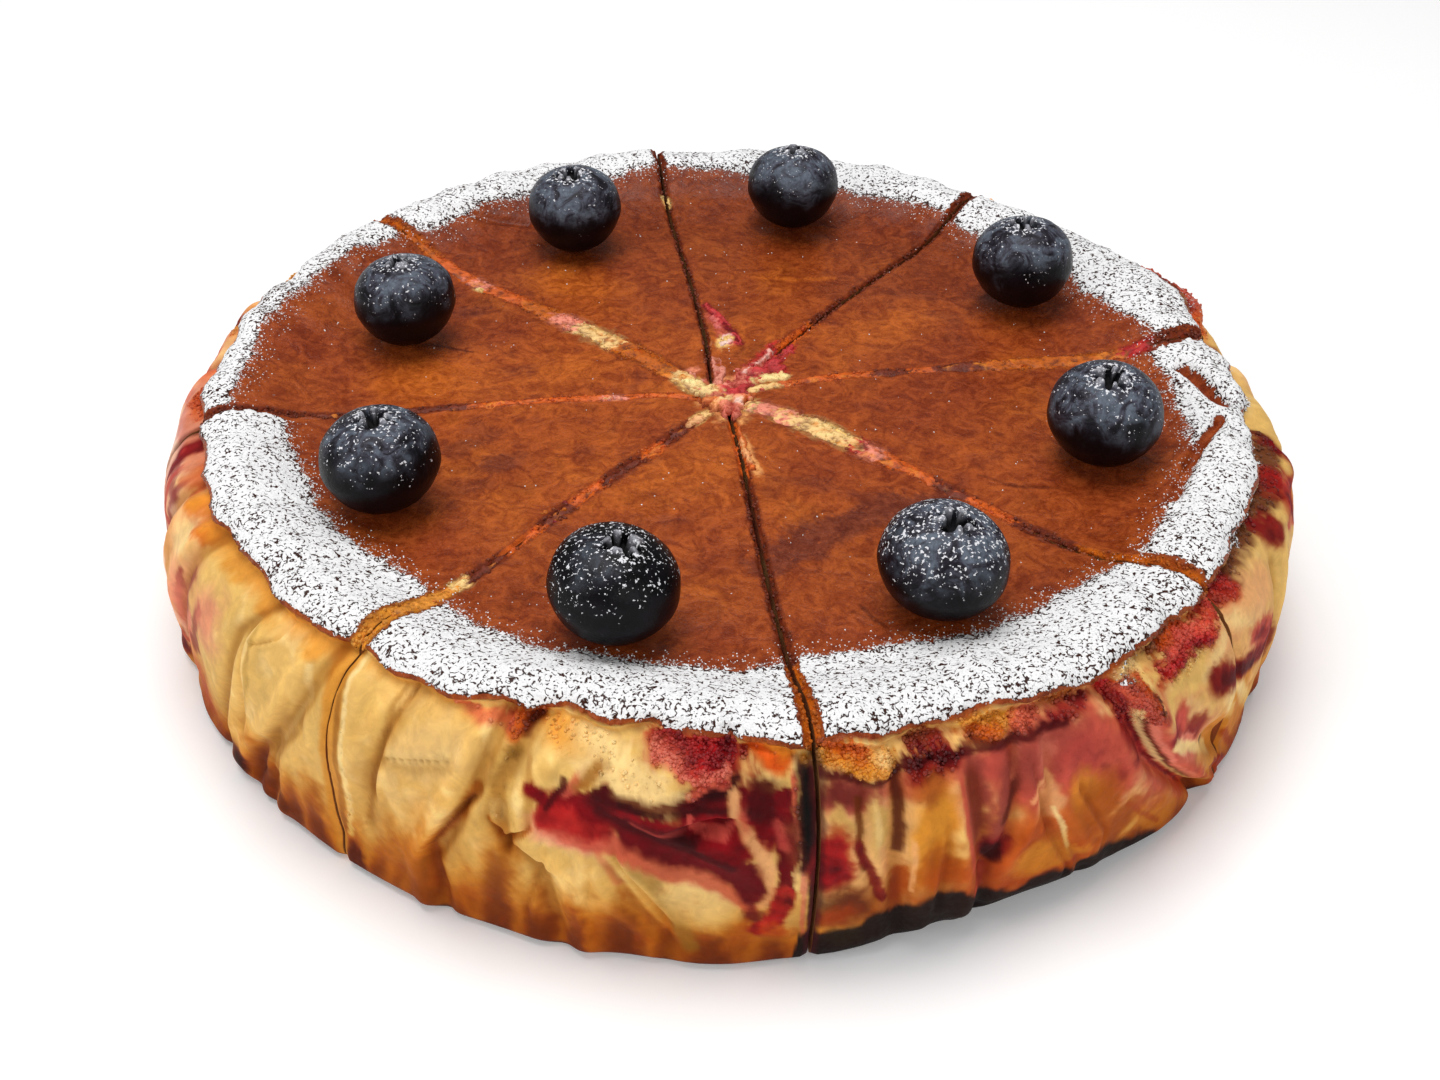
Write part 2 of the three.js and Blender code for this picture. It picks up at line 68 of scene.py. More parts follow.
FOLDS = [
    fold(1.3, 1.7, 1, (40, -135.5), (32, -139.6), (23, -140.7), (12, -143.4), (2, -145)),
    fold(1.5, 1.8, -1, (40, -127.2), (30, -129), (22, -131.9), (13, -136.3), (4, -139)),
    fold(0.9, 1.4, 1, (24, -129.6), (16, -133.5), (3, -136)),
    fold(1.3, 2.2, -1, (38, -150), (20, -154), (4, -157)),
    fold(1.3, 2.2, 1, (36, -160), (18, -163), (3, -164)),
    fold(0.9, 1.9, -1, (37, -118), (25, -120.9), (14, -121.6)),
    fold(1.6, 1.5, -1, (41, -108.8), (32, -109.9), (22, -112), (12, -114.8), (3, -114.3)),
    fold(1.4, 1.9, 1, (42, -107), (36, -106.6), (30, -108.4), (21, -107.4), (17, -104.5), (3, -103)),
    fold(0.9, 1.6, -1, (20, -98.5), (12, -96), (5, -93.4)),
    fold(1.3, 1.6, 1, (34, -74.6), (24, -74.8), (13, -74.4), (5, -73.6)),
    fold(1.3, 1.5, -1, (31, -67.7), (20, -66.8), (10, -65.8), (3, -65.4)),
    fold(1.1, 1.5, 1, (34, -63.6), (20, -64.4), (15, -65.8)),
    fold(0.8, 1.5, 1, (31, -60.3), (22, -60.8), (14, -58), (4, -54.5)),
    fold(2.7, 1.8, 1, (41, -55), (32, -51.5), (21, -48.2), (14, -44.4), (9, -41.6), (3, -37.5)),
    fold(1.2, 2.2, 1, (30, -22), (16, -24), (4, -23)),
    fold(1.2, 2.2, -1, (34, -4), (18, -7), (3, -6)),
]
LUMPS = [  # azimuth, height, half length, half width, out, lean
    (-101, 36.5, 6.5, 4.5, 1.6, 0),
    (-94.5, 30, 6, 3, 1.0, -15),
    (-92.5, 36, 5.5, 4.2, 1.4, 0),
    (-85.6, 37, 4.4, 1.9, 1.5, -12),
    (-90, 28.3, 5.5, 1.5, -2.6, 8),
    (-96, 25, 14, 2.8, -1.5, -24),
    (-85.5, 26, 7, 3, -1.5, 90),
    (-77.3, 38.2, 5.6, 3.1, 2.2, -8),
    (-65.3, 38.4, 5.4, 2.8, 2.0, 8),
    (-71.3, 35.5, 3, 3, -1.2, 0),
    (-60, 31, 6, 8, -0.9, 0),
    (-50, 35, 9, 2.3, 2.5, -53),
    (-42, 35, 8, 5, -0.9, 0),
    (-39, 24, 6, 4, 1.0, -30),
    (-37.5, 14.5, 6, 3, -1.9, -45),
    (-36.5, 8.5, 8, 1.6, 1.2, -35),
    (-64, 0, 26, 4.4, -3.2, 0),
    (-8, 34, 15, 3, 1.4, 0),
    (27, 36.8, 15, 2.6, 3.6, 0),
    (-4, 22, 19, 15, 1.0, 0),
    (-164, 33, 7, 5, 0.9, 0),
]


def bell(x):
    return np.exp(-x * x)


def turn_from(azimuth, other):
    turn = azimuth - other
    return turn - 360 * np.round(turn / 360)


def wave(azimuth, count, phase):
    return np.sin(count * np.radians(azimuth) + phase)


def change_at(changes, azimuth):
    return sum(change * bell(turn_from(azimuth, at) / width) for at, width, change in changes)


def through(points, x):
    points = sorted(points)
    return np.interp(x, [p[0] for p in points], [p[1] for p in points])


def curve(points, x):
    """A smooth curve through points that doesn't overshoot them."""
    px = np.array([p[0] for p in points], float)
    py = np.array([p[1] for p in points], float)
    step = np.diff(px)
    slope = np.diff(py) / step
    tangent = np.zeros(len(px))
    for i in range(1, len(px) - 1):
        if slope[i - 1] * slope[i] > 0:
            tangent[i] = 2 * slope[i - 1] * slope[i] / (slope[i - 1] + slope[i])
    tangent[0], tangent[-1] = slope[0], slope[-1]
    x = np.clip(x, px[0], px[-1])
    k = np.clip(np.searchsorted(px, x, side="right") - 1, 0, len(step) - 1)
    t = (x - px[k]) / step[k]
    return (
        (1 + 2 * t) * (1 - t) ** 2 * py[k]
        + t * (1 - t) ** 2 * step[k] * tangent[k]
        + t * t * (3 - 2 * t) * py[k + 1]
        + t * t * (t - 1) * step[k] * tangent[k + 1]
    )


def wall_radius(azimuth):
    a = np.radians(azimuth)
    return WALL_RADIUS + 0.9 * np.cos(a) + 0.6 * np.sin(a) + 0.6 * np.cos(2 * a)


def lip_radius(azimuth):
    waves = 0.5 * wave(azimuth, 18, 0) + 0.35 * wave(azimuth, 47, 1)
    return wall_radius(azimuth) - LIP_INSET + waves + change_at(LIP_CHANGES, azimuth)


def fold_height(one, azimuth, z):
    path = one["path"]
    beyond = np.maximum(0, np.maximum(z - path[0][0], path[-1][0] - z))
    across = turn_from(azimuth, through(path, z)) * WALL_DEGREE
    ridge = 0.55 * bell((across - one["raised"] * 2.1 * one["width"]) / (1.2 * one["width"]))
    return one["depth"] * bell(beyond / 3) * (ridge - bell(across / one["width"]))


def spot_distance(azimuth, z, place, height, long, wide, lean):
    """How far a place on the wall lies from the middle of a leaning oval, whose edge is at 1."""
    across = turn_from(azimuth, place) * WALL_DEGREE
    up = z - height
    c, s = math.cos(math.radians(lean)), math.sin(math.radians(lean))
    return np.hypot((across * c + up * s) / long, (up * c - across * s) / wide)


def back_folds():
    folds = []
    i = 0
    while 12 + i * 8.6 < 184:
        azimuth = 12 + i * 8.6 + 2.3 * math.sin(i * 2.4)
        lean = 3.2 * math.sin(i * 1.7)
        top = 37 - 4 * math.sin(i * 1.3)
        depth = 1.2 + 0.45 * math.sin(i * 3.1)
        width = 2 + 0.4 * math.sin(i * 2.7)
        folds.append(fold(depth, width, 1 if i % 2 else -1, (top, azimuth - lean), (4, azimuth + lean)))
        i += 1
    return folds


def wall_relief(azimuth, z):
    relief = 0.35 * wave(azimuth, 27, 0) * wave(azimuth, 3, z * 0.17)
    for one in FOLDS + back_folds():
        relief = relief + fold_height(one, azimuth, z)
    for place, height, long, wide, out, lean in LUMPS:
        relief = relief + out * np.exp(-(spot_distance(azimuth, z, place, height, long, wide, lean) ** 3))
    return relief


def wall_surface(azimuth, z):
    lip, wall = lip_radius(azimuth), wall_radius(azimuth)
    share = curve(SHOULDER, z)
    relief = wall_relief(azimuth, z) * np.minimum(1, 0.4 + 2 * share)
    return lip + share * (wall - lip) - curve(WALL_INSET, z) + relief


# ---------------------------------------------------------------- cuts and berries
CUT_AT = (6, 20, 40, 60, 78, 90)


def cut(toward, aside, groove, shut, seam_shade, *tones):
    """shut is how far crumbs close it, the seam the painted shade along it on the wall, and tones the crumb's
    from the middle out.
    """
    return dict(toward=toward, aside=aside, groove=groove, shut=shut, seam_shade=seam_shade, tones=tones)


CUTS = [
    cut(100.1, (1.2, 0, -0.3, -0.1, 0.3, 0), (0.4, 0.5, 0.5, 0.5, 0.6, 0.7), (0.3, 0, 0, 0, 0, 0.2),
        "tan",
        (0, "pale"), (4, "rust"), (72, "pale"), (75, "rust")),
    cut(54.7, (-0.5, 0.9, 1.7, 1.2, 0.1, 0), (0.8, 0.9, 0.7, 0.6, 0.7, 0.9), (0.6, 0.3, 0, 0, 0, 0),
        "tan",
        (0, "red"), (19, "orange"), (31, "rust")),
    cut(12.6, (1.3, 2.3, 2.2, 0.9, -1.0, 0), (0.5, 0.5, 0.6, 1.2, 1.2, 1.3), (0.7, 0.9, 0.6, 1, 0.7, 0.2),
        "fruit",
        (0, "pale"), (11, "orange"), (29, "rust"), (36, "orange"), (41, "rust"), (50, "amber"), (76, "red"),
        (82, "rust")),
    cut(-35.7, (0.9, 1.8, 1.3, -0.7, -1.4, 0), (1.2, 1.5, 1.0, 0.7, 0.9, 1.2), (0.9, 1, 0.6, 0.5, 0.1, 0),
        None,
        (0, "pale"), (7, "pink"), (11, "pale"), (13, "pink"), (15, "pale"), (27.5, "red"), (29.5, "pink"),
        (33, "orange"), (44, "rust"), (52, "orange"), (60, "rust"), (72, "amber")),
    cut(-81.2, (0.5, 0.7, 0.1, -0.2, -0.1, 0), (0.7, 0.7, 0.7, 0.7, 0.8, 0.9), (0.1, 0, 0, 0, 0, 0.1),
        "deep",
        (0, "rust"), (9, "orange"), (24, "rust"), (74, "amber")),
    cut(-125.1, (0.9, 0.7, -0.2, -0.1, -0.3, 0), (0.6, 0.9, 0.8, 0.6, 0.9, 1.1), (0.5, 0.5, 0.6, 0.5, 0.8, 0.6),
        "honey",
        (0, "pale"), (10, "rust"), (19, "orange"), (24, "rust"), (34, "orange"), (42, "rust"), (50, "orange"),
        (58, "rust"), (67, "pale"), (71, "honey")),
    cut(-169.4, (-0.6, -2.0, -2.5, -2.3, -1.7, 0), (0.4, 0.4, 0.4, 0.4, 0.6, 0.7),
        (0.9, 0.9, 0.9, 0.9, 0.4, 0.3), "rust",
        (0, "orange"), (17.5, "pink"), (22, "orange"), (45, "rust")),
    cut(-218.1, (0.6, -0.4, -0.5, 0.4, -0.1, 0), (1.2, 1.5, 1.4, 1.0, 1.0, 1.2), (1, 1, 1, 0.7, 0.5, 0.2),
        "gold",
        (0, "pale"), (11, "amber"), (26, "pale"), (36, "pink"), (42, "amber"), (50, "orange"), (59, "pink"),
        (64, "orange"), (74, "amber")),
]
BERRIES = [  # azimuth, distance out, radius, lean
    (79.1, 68.9, 9.5, (-6, 5)),
    (33.5, 68.5, 9.8, (-4, 6)),
    (-12.8, 66.5, 9.8, (-7, 2)),
    (-59.2, 65.8, 10.0, (-8, -3)),
    (-103.7, 66.1, 9.9, (-9, 4)),
    (-148.5, 64.9, 9.7, (-2, -3)),
    (-196.8, 62.3, 9.4, (-6, 0)),
    (-240.8, 64.2, 9.5, (-5, -2)),
]
GROOVE_SLOPE = 1.1
WALL_TEAR = 0.6
SOUND_MARGIN = 0.15
STEEPEST_SWAY = 0.24
BREAKS = [  # from, to, half width, depth
    ((84, 10), (88.5, -1.5), 2.1, 3.0),
    ((87, -7.5), (79.5, -19.5), 1.5, 1.5),
    ((79.5, -19.5), (74.5, -30), 1.5, 1.6),
    ((-57, 62), (-42, 63), 1.5, 0.9),
]

# ---------------------------------------------------------------- colours, as they look in daylight
TONES = {
    # light also serves as painted highlight; shade, olive, ochre, brown, rust, mauve, wine and deep also as
    # painted shade in creases and painted shadow in hollows and cuts
    "light": (250, 218, 150),
    "pale": (244, 208, 140),
    "cream": (232, 188, 108),
    "straw": (214, 170, 92),
    "olive": (166, 126, 58),
    "shade": (170, 112, 40),
    "ochre": (188, 108, 12),
    "honey": (220, 148, 52),
    "gold": (220, 148, 50),
    "amber": (192, 98, 10),
    "tan": (178, 100, 44),
    "brown": (120, 60, 2),
    "burnt": (6, 3, 2),
    "fruit": (126, 16, 30),
    "deep": (64, 6, 14),
    "crimson": (146, 14, 32),
    "wine": (92, 8, 20),
    "red": (184, 46, 46),
    "salmon": (216, 112, 92),
    "rose": (206, 98, 88),
    "pink": (236, 148, 126),
    "blush": (250, 212, 196),
    "peach": (238, 174, 116),
    "mauve": (168, 86, 76),
    "orange": (208, 98, 30),
    "rust": (112, 44, 18),
    "crust": (166, 82, 38),
    "light crust": (190, 102, 42),
    "red crust": (140, 62, 34),
    "dark crust": (104, 44, 22),
    "purple crust": (116, 56, 42),
}


def linear(colour):
    c = np.array(colour, float) / 255
    return np.where(c < 0.04045, c / 12.92, ((c + 0.055) / 1.055) ** 2.4)


TONES = {name: linear(colour) for name, colour in TONES.items()}


# ---------------------------------------------------------------- random fields
class Field:
    """A smooth random field in space from -1 to 1, that repeats after many cells."""

    CELLS = 40

    def __init__(self, seed):
        self.values = np.random.default_rng(seed).uniform(-1, 1, self.CELLS**3).astype(np.float32)

    def once(self, points):
        low = np.floor(points).astype(np.int64)
        t = points - low
        t = t * t * (3 - 2 * t)
        a = low % self.CELLS
        b = (low + 1) % self.CELLS
        n = self.CELLS
        total = 0
        for corner in range(8):
            pick = [(corner >> k) & 1 for k in range(3)]
            x, y, z = [b[:, k] if pick[k] else a[:, k] for k in range(3)]
            weight = 1
            for k in range(3):
                weight = weight * (t[:, k] if pick[k] else 1 - t[:, k])
            total = total + weight * self.values[(x * n + y) * n + z]
        return total

    def __call__(self, points, size, octaves=3, fade=0.5):
        total, weight, strength = 0, 0, 1.0
        for k in range(octaves):
            total = total + strength * self.once(points * (1.93**k / size) + 7.3 * k)
            weight += strength * strength
            strength *= fade
        return total / math.sqrt(weight)


FIELD = [Field(seed) for seed in range(11, 19)]


def smooth(low, high, x):
    t = np.clip((x - low) / (high - low), 0, 1)
    return t * t * (3 - 2 * t)


# ---------------------------------------------------------------- paint
def blend(colours, other, share):
    """Colours moved towards other ones, by a share for each point."""
    return colours + (other - colours) * share[:, None]


def oval(tone, x, y, long, wide, lean=0, strength=0.9, soft=0.42, ragged=0.4, rough=0.0):
    return dict(tone=tone, at=(x, y), size=(long, wide), lean=lean, strength=strength, soft=soft,
                ragged=ragged, rough=rough)


def stroke(tone, width, *path, strength=0.85, soft=0.5, ragged=0.42, rough=0.0):
    return dict(tone=tone, width=width, path=path, strength=strength, soft=soft, ragged=ragged, rough=rough)


def from_path(path, u, v):
    """Distance of each point from a line of several stretches."""
    best = np.full(len(u), 1e9)
    for (x0, y0), (x1, y1) in zip(path, path[1:]):
        dx, dy = x1 - x0, y1 - y0
        along = np.clip(((u - x0) * dx + (v - y0) * dy) / (dx * dx + dy * dy), 0, 1)
        best = np.minimum(best, np.hypot(u - x0 - along * dx, v - y0 - along * dy))
    return best


def reach(layer, u, v, unit, noise):
    """1 inside a painted place and 0 outside. unit is the length of one step of u."""
    if "path" in layer:
        path = [(x * unit, y) for x, y in layer["path"]]
        far = from_path(path, u * unit, v) / layer["width"]
    else:
        (x, y), (long, wide) = layer["at"], layer["size"]
        c, s = math.cos(math.radians(layer["lean"])), math.sin(math.radians(layer["lean"]))
        across, up = (u - x) * unit, v - y
        far = np.hypot((across * c + up * s) / long, (up * c - across * s) / wide)
    far = far + layer["ragged"] * noise
    return layer["strength"] * smooth(1 + layer["soft"], 1 - layer["soft"], far)


def narrowest(layer):
    return layer["width"] if "path" in layer else min(layer["size"])


def tongue(azimuth, top, half_width, dark=0.62, lean=0):
    """Browning that rises from the base of the wall."""
    return [
        oval("honey", azimuth, 0, half_width * 1.3, top * 1.12, lean, 0.8, 0.4, 0.35),
        oval("ochre", azimuth, 0, half_width, top * 0.95, lean, 0.8, 0.45, 0.35),
        oval("brown", azimuth, 0, half_width * 0.8, top * dark, lean, 0.68, 0.6, 0.35),
    ]


TONGUES = [  # azimuth, top, half width, share that is dark, lean
    (-146, 7, 4), (-137.5, 13, 4), (-132, 12, 4), (-128.5, 16, 3), (-121, 14, 3.2, 0.4, -14),
    (-118, 21, 3.6, 0.5, -14), (-116.2, 13, 3.4, 0.8, -8), (-112.8, 6, 3), (-109, 19.5, 3.0, 0.78, -4),
    (-105, 11, 3.0, 0.6), (-101.5, 14, 1.9, 0.62), (-97.4, 13, 3.6, 0.85), (-93.4, 8, 2.6), (-89.5, 9, 5, 0.8),
    (-84.6, 7, 3, 0.8), (-71, 14, 4.5), (-58, 12, 8), (-52, 14, 5), (-47, 9, 5),
]
WALL_PAINT = [
    # left, seen at a grazing angle
    oval("peach", -174, 20, 24, 26),
    oval("pink", -166, 26, 9, 9),
    oval("peach", -157, 20, 14, 24, 0, 0.8),
    oval("blush", -174.6, 30.5, 8.5, 4.6, 14, 1),
    oval("blush", -179, 26, 3.4, 3, 20),
    oval("blush", -176.5, 14, 6, 4, 25),
    oval("light", -174.5, 6.5, 6.4, 4, 20, 0.8),
    stroke("orange", 1.4, (-182.6, 36), (-182.4, 26), (-181, 18), (-180.4, 8)),
    stroke("red", 1.6, (-180.4, 21), (-177, 24.4), (-173, 26.4)),
    oval("rose", -174.4, 20.4, 4.4, 3, 15),
    stroke("crimson", 0.8, (-178.6, 24), (-174, 25.6), (-171.6, 26.6), ragged=0.6),
    stroke("rose", 1.6, (-181.6, 33), (-177, 34.6), (-170, 35.6)),
    stroke("crimson", 1.2, (-168.4, 34.8), (-165, 34.4), (-161.8, 33.6)),
    oval("red", -166.4, 12.4, 5.4, 7, 15),
    stroke("crimson", 1.2, (-168.6, 7.4), (-166.4, 9.4)),
    stroke("crimson", 0.9, (-165.4, 14.6), (-163.4, 16.8)),
    oval("honey", -158.8, 22, 4.6, 11),
    oval("tan", -159.8, 9, 4, 6, 0, 0.8),
    stroke("crimson", 0.75, (-161.8, 35.6), (-162, 24), (-162.8, 10), (-163, 5), (-161.4, 1.8), (-158.8, 4.6),
           (-156, 14), (-154.6, 22), (-153.4, 29), ragged=0.6),
    stroke("blush", 0.4, (-161.9, 26), (-162.6, 10), (-162, 3.4), (-160, 2.8), (-157.4, 9), (-155.4, 16),
           strength=0.7),
    oval("pale", -155, 33, 3.6, 2.4, 10),
    stroke("mauve", 1.8, (-150.6, 30.4), (-152.4, 23), (-153.6, 15)),
    stroke("pink", 1, (-150.2, 24), (-152, 17), (-154.2, 11)),
    stroke("mauve", 1.6, (-147.6, 27.6), (-149, 22), (-150.6, 17)),
    oval("pink", -145.4, 28, 4.6, 5, 20, 0.75, 0.6),
    oval("rose", -150.6, 9, 5, 5, 30, 0.6, 0.6),
    oval("crimson", -153.4, 14.6, 0.9, 2.4, -20, 0.6),
    stroke("rust", 0.9, (-185, 38.3), (-165, 38), (-158, 38)),
    stroke("orange", 1.7, (-183, 36.9), (-170, 37.2), (-160, 37.4), (-152, 36.9)),
    stroke("honey", 1.5, (-158, 37.4), (-148, 37.4), (-138, 37.5), (-128, 37.6)),
    # painted highlights and shade along the folds
    stroke("light", 0.5, (-137.4, 34.6), (-137.2, 26), (-138, 18), strength=0.6),
    stroke("light", 0.5, (-129.6, 35), (-129, 30), (-130.6, 25), (-132.6, 19), strength=0.7),
    stroke("olive", 0.5, (-136.8, 35), (-136.6, 27), (-137.4, 20), strength=0.5, soft=0.6),
    oval("rust", -141.6, 4.6, 2.2, 3.8, -12),
    oval("burnt", -141.5, 3.6, 1.3, 2.4, -12, 0.6),
    oval("brown", -133.8, 4.5, 1.6, 2.5, -15, 0.8),
    oval("rust", -123.8, 2.6, 1.9, 3.6, 20),
    oval("blush", -172, 20, 24, 30, 0, 0.3, 0.6),
    stroke("crimson", 2.2, (-168, 36), (-166, 28), (-163.6, 20), (-161.6, 12), (-160, 5), strength=0.95),
    stroke("rose", 1.6, (-164.6, 34), (-162.4, 26), (-160.2, 18), (-158, 9)),
    stroke("blush", 1.3, (-161, 31), (-158.6, 22), (-156.4, 14)),
    oval("pink", -154.6, 19, 3.4, 9, -10, 0.8, 0.6),
    # beside the left cut: painted shade in its valley and a painted highlight along its edge
    stroke("gold", 2.1, (-127.2, 37.4), (-125.6, 30), (-124.9, 22), (-125.4, 13), (-126.6, 6)),
    stroke("shade", 0.7, (-125.8, 36), (-124.4, 29), (-123.9, 20), (-124.6, 12), (-125.8, 6)),
    stroke("light", 0.5, (-125, 37), (-123.7, 30), (-123.2, 22), (-123.5, 14), (-124.4, 8), strength=0.95,
           ragged=0.7, rough=0.5),
    # front left: cream panels between creases, with painted shade in the creases and painted highlights beside
    # them
    oval("pale", -115.5, 31.5, 6.5, 3.6, 25, 0.7),
    oval("straw", -121.6, 28, 2, 9, 8, 0.6),
    oval("light", -118.4, 24, 1.6, 6, 14, 0.5),
    oval("straw", -111.5, 19, 2.6, 7, -25, 0.7),
    stroke("shade", 0.45, (-119.7, 37), (-119.8, 30), (-120.6, 23), (-121.8, 14), strength=0.55, soft=0.6),
    oval("shade", -108, 34.6, 1.6, 0.7, 10, 0.7, 0.5, 0.6, 0.5),
    stroke("olive", 1.0, (-119.4, 27.4), (-116, 28.8), (-112.8, 31.6), strength=0.5, soft=0.8),
    stroke("light", 0.9, (-119, 29.2), (-116, 30.6), (-112.4, 33.4), strength=0.5, soft=0.8),
    stroke("ochre", 0.8, (-110.4, 28.6), (-112, 22.4), (-114.7, 15.6), (-115.2, 6)),
    stroke("brown", 0.3, (-110.6, 27.4), (-112.3, 21.8), (-114.6, 15.6), strength=0.7),
    stroke("ochre", 0.5, (-109, 24.6), (-107.6, 21.2), (-105.2, 25.2)),
    stroke("shade", 0.6, (-105.4, 25), (-105.4, 31), (-106, 34), strength=0.6),
    stroke("olive", 1.3, (-97.4, 24), (-95, 19), (-92.8, 12), (-91.8, 5), strength=0.75, soft=0.6),
    oval("pale", -90.8, 15, 5.6, 5, -30, 0.85, 0.4, 0.25),
    oval("straw", -107.6, 28.4, 2.8, 4.2, 10, 0.7, 0.5, 0.5, 0.6),
    oval("light", -108.2, 26.4, 1.2, 1.6, 20, 0.7, 0.5, 0.6, 0.7),
    oval("light", -106.4, 29.4, 0.8, 2.2, 10, 0.6, 0.5, 0.6, 0.7),
    oval("olive", -107.6, 34, 1.4, 0.8, 30, 0.8, 0.5, 0.7, 0.8),
    oval("honey", -116, 20, 12, 20, 0, 0.22, 0.6),
    # the gash of fruit; its darkest wine and deep marks are partly painted shadow in its hollows
    oval("pink", -102, 25.6, 6, 2.6, -8),
    stroke("salmon", 1.5, (-103.6, 26.6), (-100, 24.8), (-96.6, 23.6), (-93.4, 20.6), (-89, 18.2),
           (-86.6, 14.4)),
    stroke("salmon", 0.7, (-100, 25), (-98.9, 21.4), (-97.8, 17.4), strength=0.55, soft=0.6),
    stroke("crimson", 0.9, (-105.6, 31.2), (-104.8, 30.2), (-103.6, 28.8), strength=1),
    oval("straw", -104, 33.4, 1.6, 1.2, 0, 0.8),
    stroke("crimson", 2.4, (-103.4, 28.6), (-101, 29.6), (-99, 30.2), strength=1, soft=0.3),
    stroke("red", 1.8, (-104, 27.4), (-101.6, 27.2), (-99.4, 26.6), strength=0.95, soft=0.35),
    stroke("salmon", 0.8, (-102.6, 30.8), (-101.4, 33.4), (-100.6, 34.8)),
    stroke("wine", 0.55, (-104, 28.6), (-103, 31), (-102.6, 33)),
    stroke("crimson", 2.9, (-100, 29.4), (-96.4, 28.8), (-93.2, 27.2), (-90, 24.6), strength=1, soft=0.25),
    stroke("fruit", 2.5, (-96.6, 26.6), (-93.4, 24.2), (-90, 22.4), (-87.4, 20.4), (-86.2, 17),
           strength=1, soft=0.3),
    oval("crimson", -88.4, 29, 9, 6.4, 0, 1, 0.2, 0.25, 0.3),
    oval("wine", -99.4, 30.4, 2.4, 1.7, -20, 0.8, 0.5, 0.4, 0.3),
    stroke("wine", 1.2, (-99.6, 32), (-97, 31.6), (-94.6, 31.8), (-92, 33), soft=0.28, ragged=0.3),
    oval("wine", -90.4, 33.4, 5.2, 1.9, 6, 0.95, 0.4, 0.4, 0.5),
    oval("wine", -85.6, 32, 3, 4.4, 0, 0.9, 0.4, 0.4, 0.4),
    oval("wine", -94, 26.8, 5.6, 1.8, -14, 0.9, 0.5, 0.4, 0.2),
    stroke("wine", 0.9, (-99.6, 28.8), (-95.6, 27.2), (-92, 24.8), (-88.4, 22), soft=0.6),
    oval("deep", -92.4, 26.6, 2.2, 0.8, -20, 0.7, 0.6),
    stroke("deep", 0.5, (-97.6, 31.4), (-94, 30.6), (-90.6, 31.8), (-87, 31), strength=0.7, soft=0.6,
           rough=0.3),
    stroke("rose", 0.5, (-96.6, 28.4), (-94, 27.4), (-92.6, 28), strength=0.5, soft=0.6),
    stroke("rose", 0.5, (-91.8, 30.8), (-91.9, 28.4), (-90.6, 27.4), (-89, 27.2), (-88.2, 28.4), strength=0.95,
           soft=0.35),
    oval("deep", -89.4, 34.2, 2.6, 1, 10, 0.9, 0.4, 0.5, 0.5),
    stroke("salmon", 0.5, (-92, 33.6), (-90.4, 35), (-88.8, 34.6), ragged=0.7, rough=0.7),
    stroke("peach", 0.75, (-88.3, 33), (-88.1, 30.4), (-87.3, 27.8), (-86.3, 24.6), (-85.2, 21.4), (-84.8, 17),
           (-85.8, 14.8), soft=0.7, ragged=0.6, rough=0.2),
    oval("salmon", -87.4, 29.6, 0.8, 2.2, 10, 0.7, 0.6, 0.5, 0.2),
    oval("peach", -85.6, 22, 1.2, 3, 16, 0.7, 0.6, 0.5, 0.2),
    # fruit beside the front cut
    stroke("fruit", 1.6, (-84, 33), (-83.9, 26), (-83.7, 18), strength=1, soft=0.3, rough=0.4),
    stroke("rose", 0.8, (-84.6, 28.6), (-84.1, 25.4), strength=0.7, soft=0.6, rough=0.4),
    stroke("red", 1.7, (-83.8, 17.4), (-84.4, 12), (-85.8, 8.6), strength=1, soft=0.35, rough=0.3),
    oval("fruit", -86.4, 12.4, 1.8, 1.8, 0, 0.9, 0.5, 0.5, 0.3),
    oval("orange", -84.6, 8.6, 2.2, 1.8, 0, 0.7, 0.6, 0.5, 0.3),
    stroke("salmon", 0.45, (-83.3, 35.6), (-83.1, 31), (-82.9, 27), ragged=0.6, rough=0.6),
    stroke("pink", 0.4, (-82.6, 26.4), (-82.4, 21), (-82.3, 14), (-82.1, 6), ragged=0.6, rough=0.4),
    # crumbs above it
    oval("pale", -97.2, 34.4, 7.4, 1.7, -6, 1, 0.25, 0.4, 0.5),
    # painted shadow under the crumb lump
    oval("shade", -100.4, 34, 2.8, 1, 40, 0.9, 0.6),
    oval("honey", -103.4, 36.8, 6, 1.2, 0, 0.8, 0.5, 0.5, 0.7),
    oval("light", -100.4, 36.4, 4.6, 0.7, -6, 0.8, 0.5, 0.6, 0.8),
    oval("orange", -107.6, 37.2, 2.6, 1.6, 0, 0.9, 0.5, 0.5, 0.8),
    oval("rust", -107, 36.4, 1.2, 1, 0, 0.7, 0.5, 0.5, 0.6),
    stroke("honey", 0.7, (-124, 37.4), (-116, 37.6), (-110, 37.2), strength=0.6, ragged=0.6, rough=0.4),
    stroke("salmon", 0.6, (-114, 37.8), (-111, 37.2), (-108.8, 36.6), strength=0.7, ragged=0.6, rough=0.7),
    oval("red", -91.8, 37, 8.2, 1.9, -3, 1, 0.3, 0.4, 1),
    oval("salmon", -93.6, 36.4, 4.2, 0.9, -8, 0.7, 0.6, 0.8, 1),
    oval("crimson", -88.6, 36.8, 4.2, 1, -4, 0.8, 0.5, 0.7, 1),
    stroke("pink", 0.4, (-95.6, 36.6), (-92, 35.6), (-88.8, 35.6), strength=0.7, ragged=0.9, rough=0.9),
    oval("orange", -85.2, 37.4, 4, 1.4, -4, 1, 0.3, 0.3, 0.5),
    oval("honey", -84.2, 37.8, 2.6, 0.8, -4, 0.7, 0.4, 0.5, 0.5),
    # right of the front cut
    oval("peach", -76, 24, 11, 12, 0, 0.6),
    oval("tan", -70, 12, 20, 6, 0, 0.7),
    oval("orange", -60, 18, 15, 12, 0, 0.8),
    oval("rose", -60, 31, 17, 7),
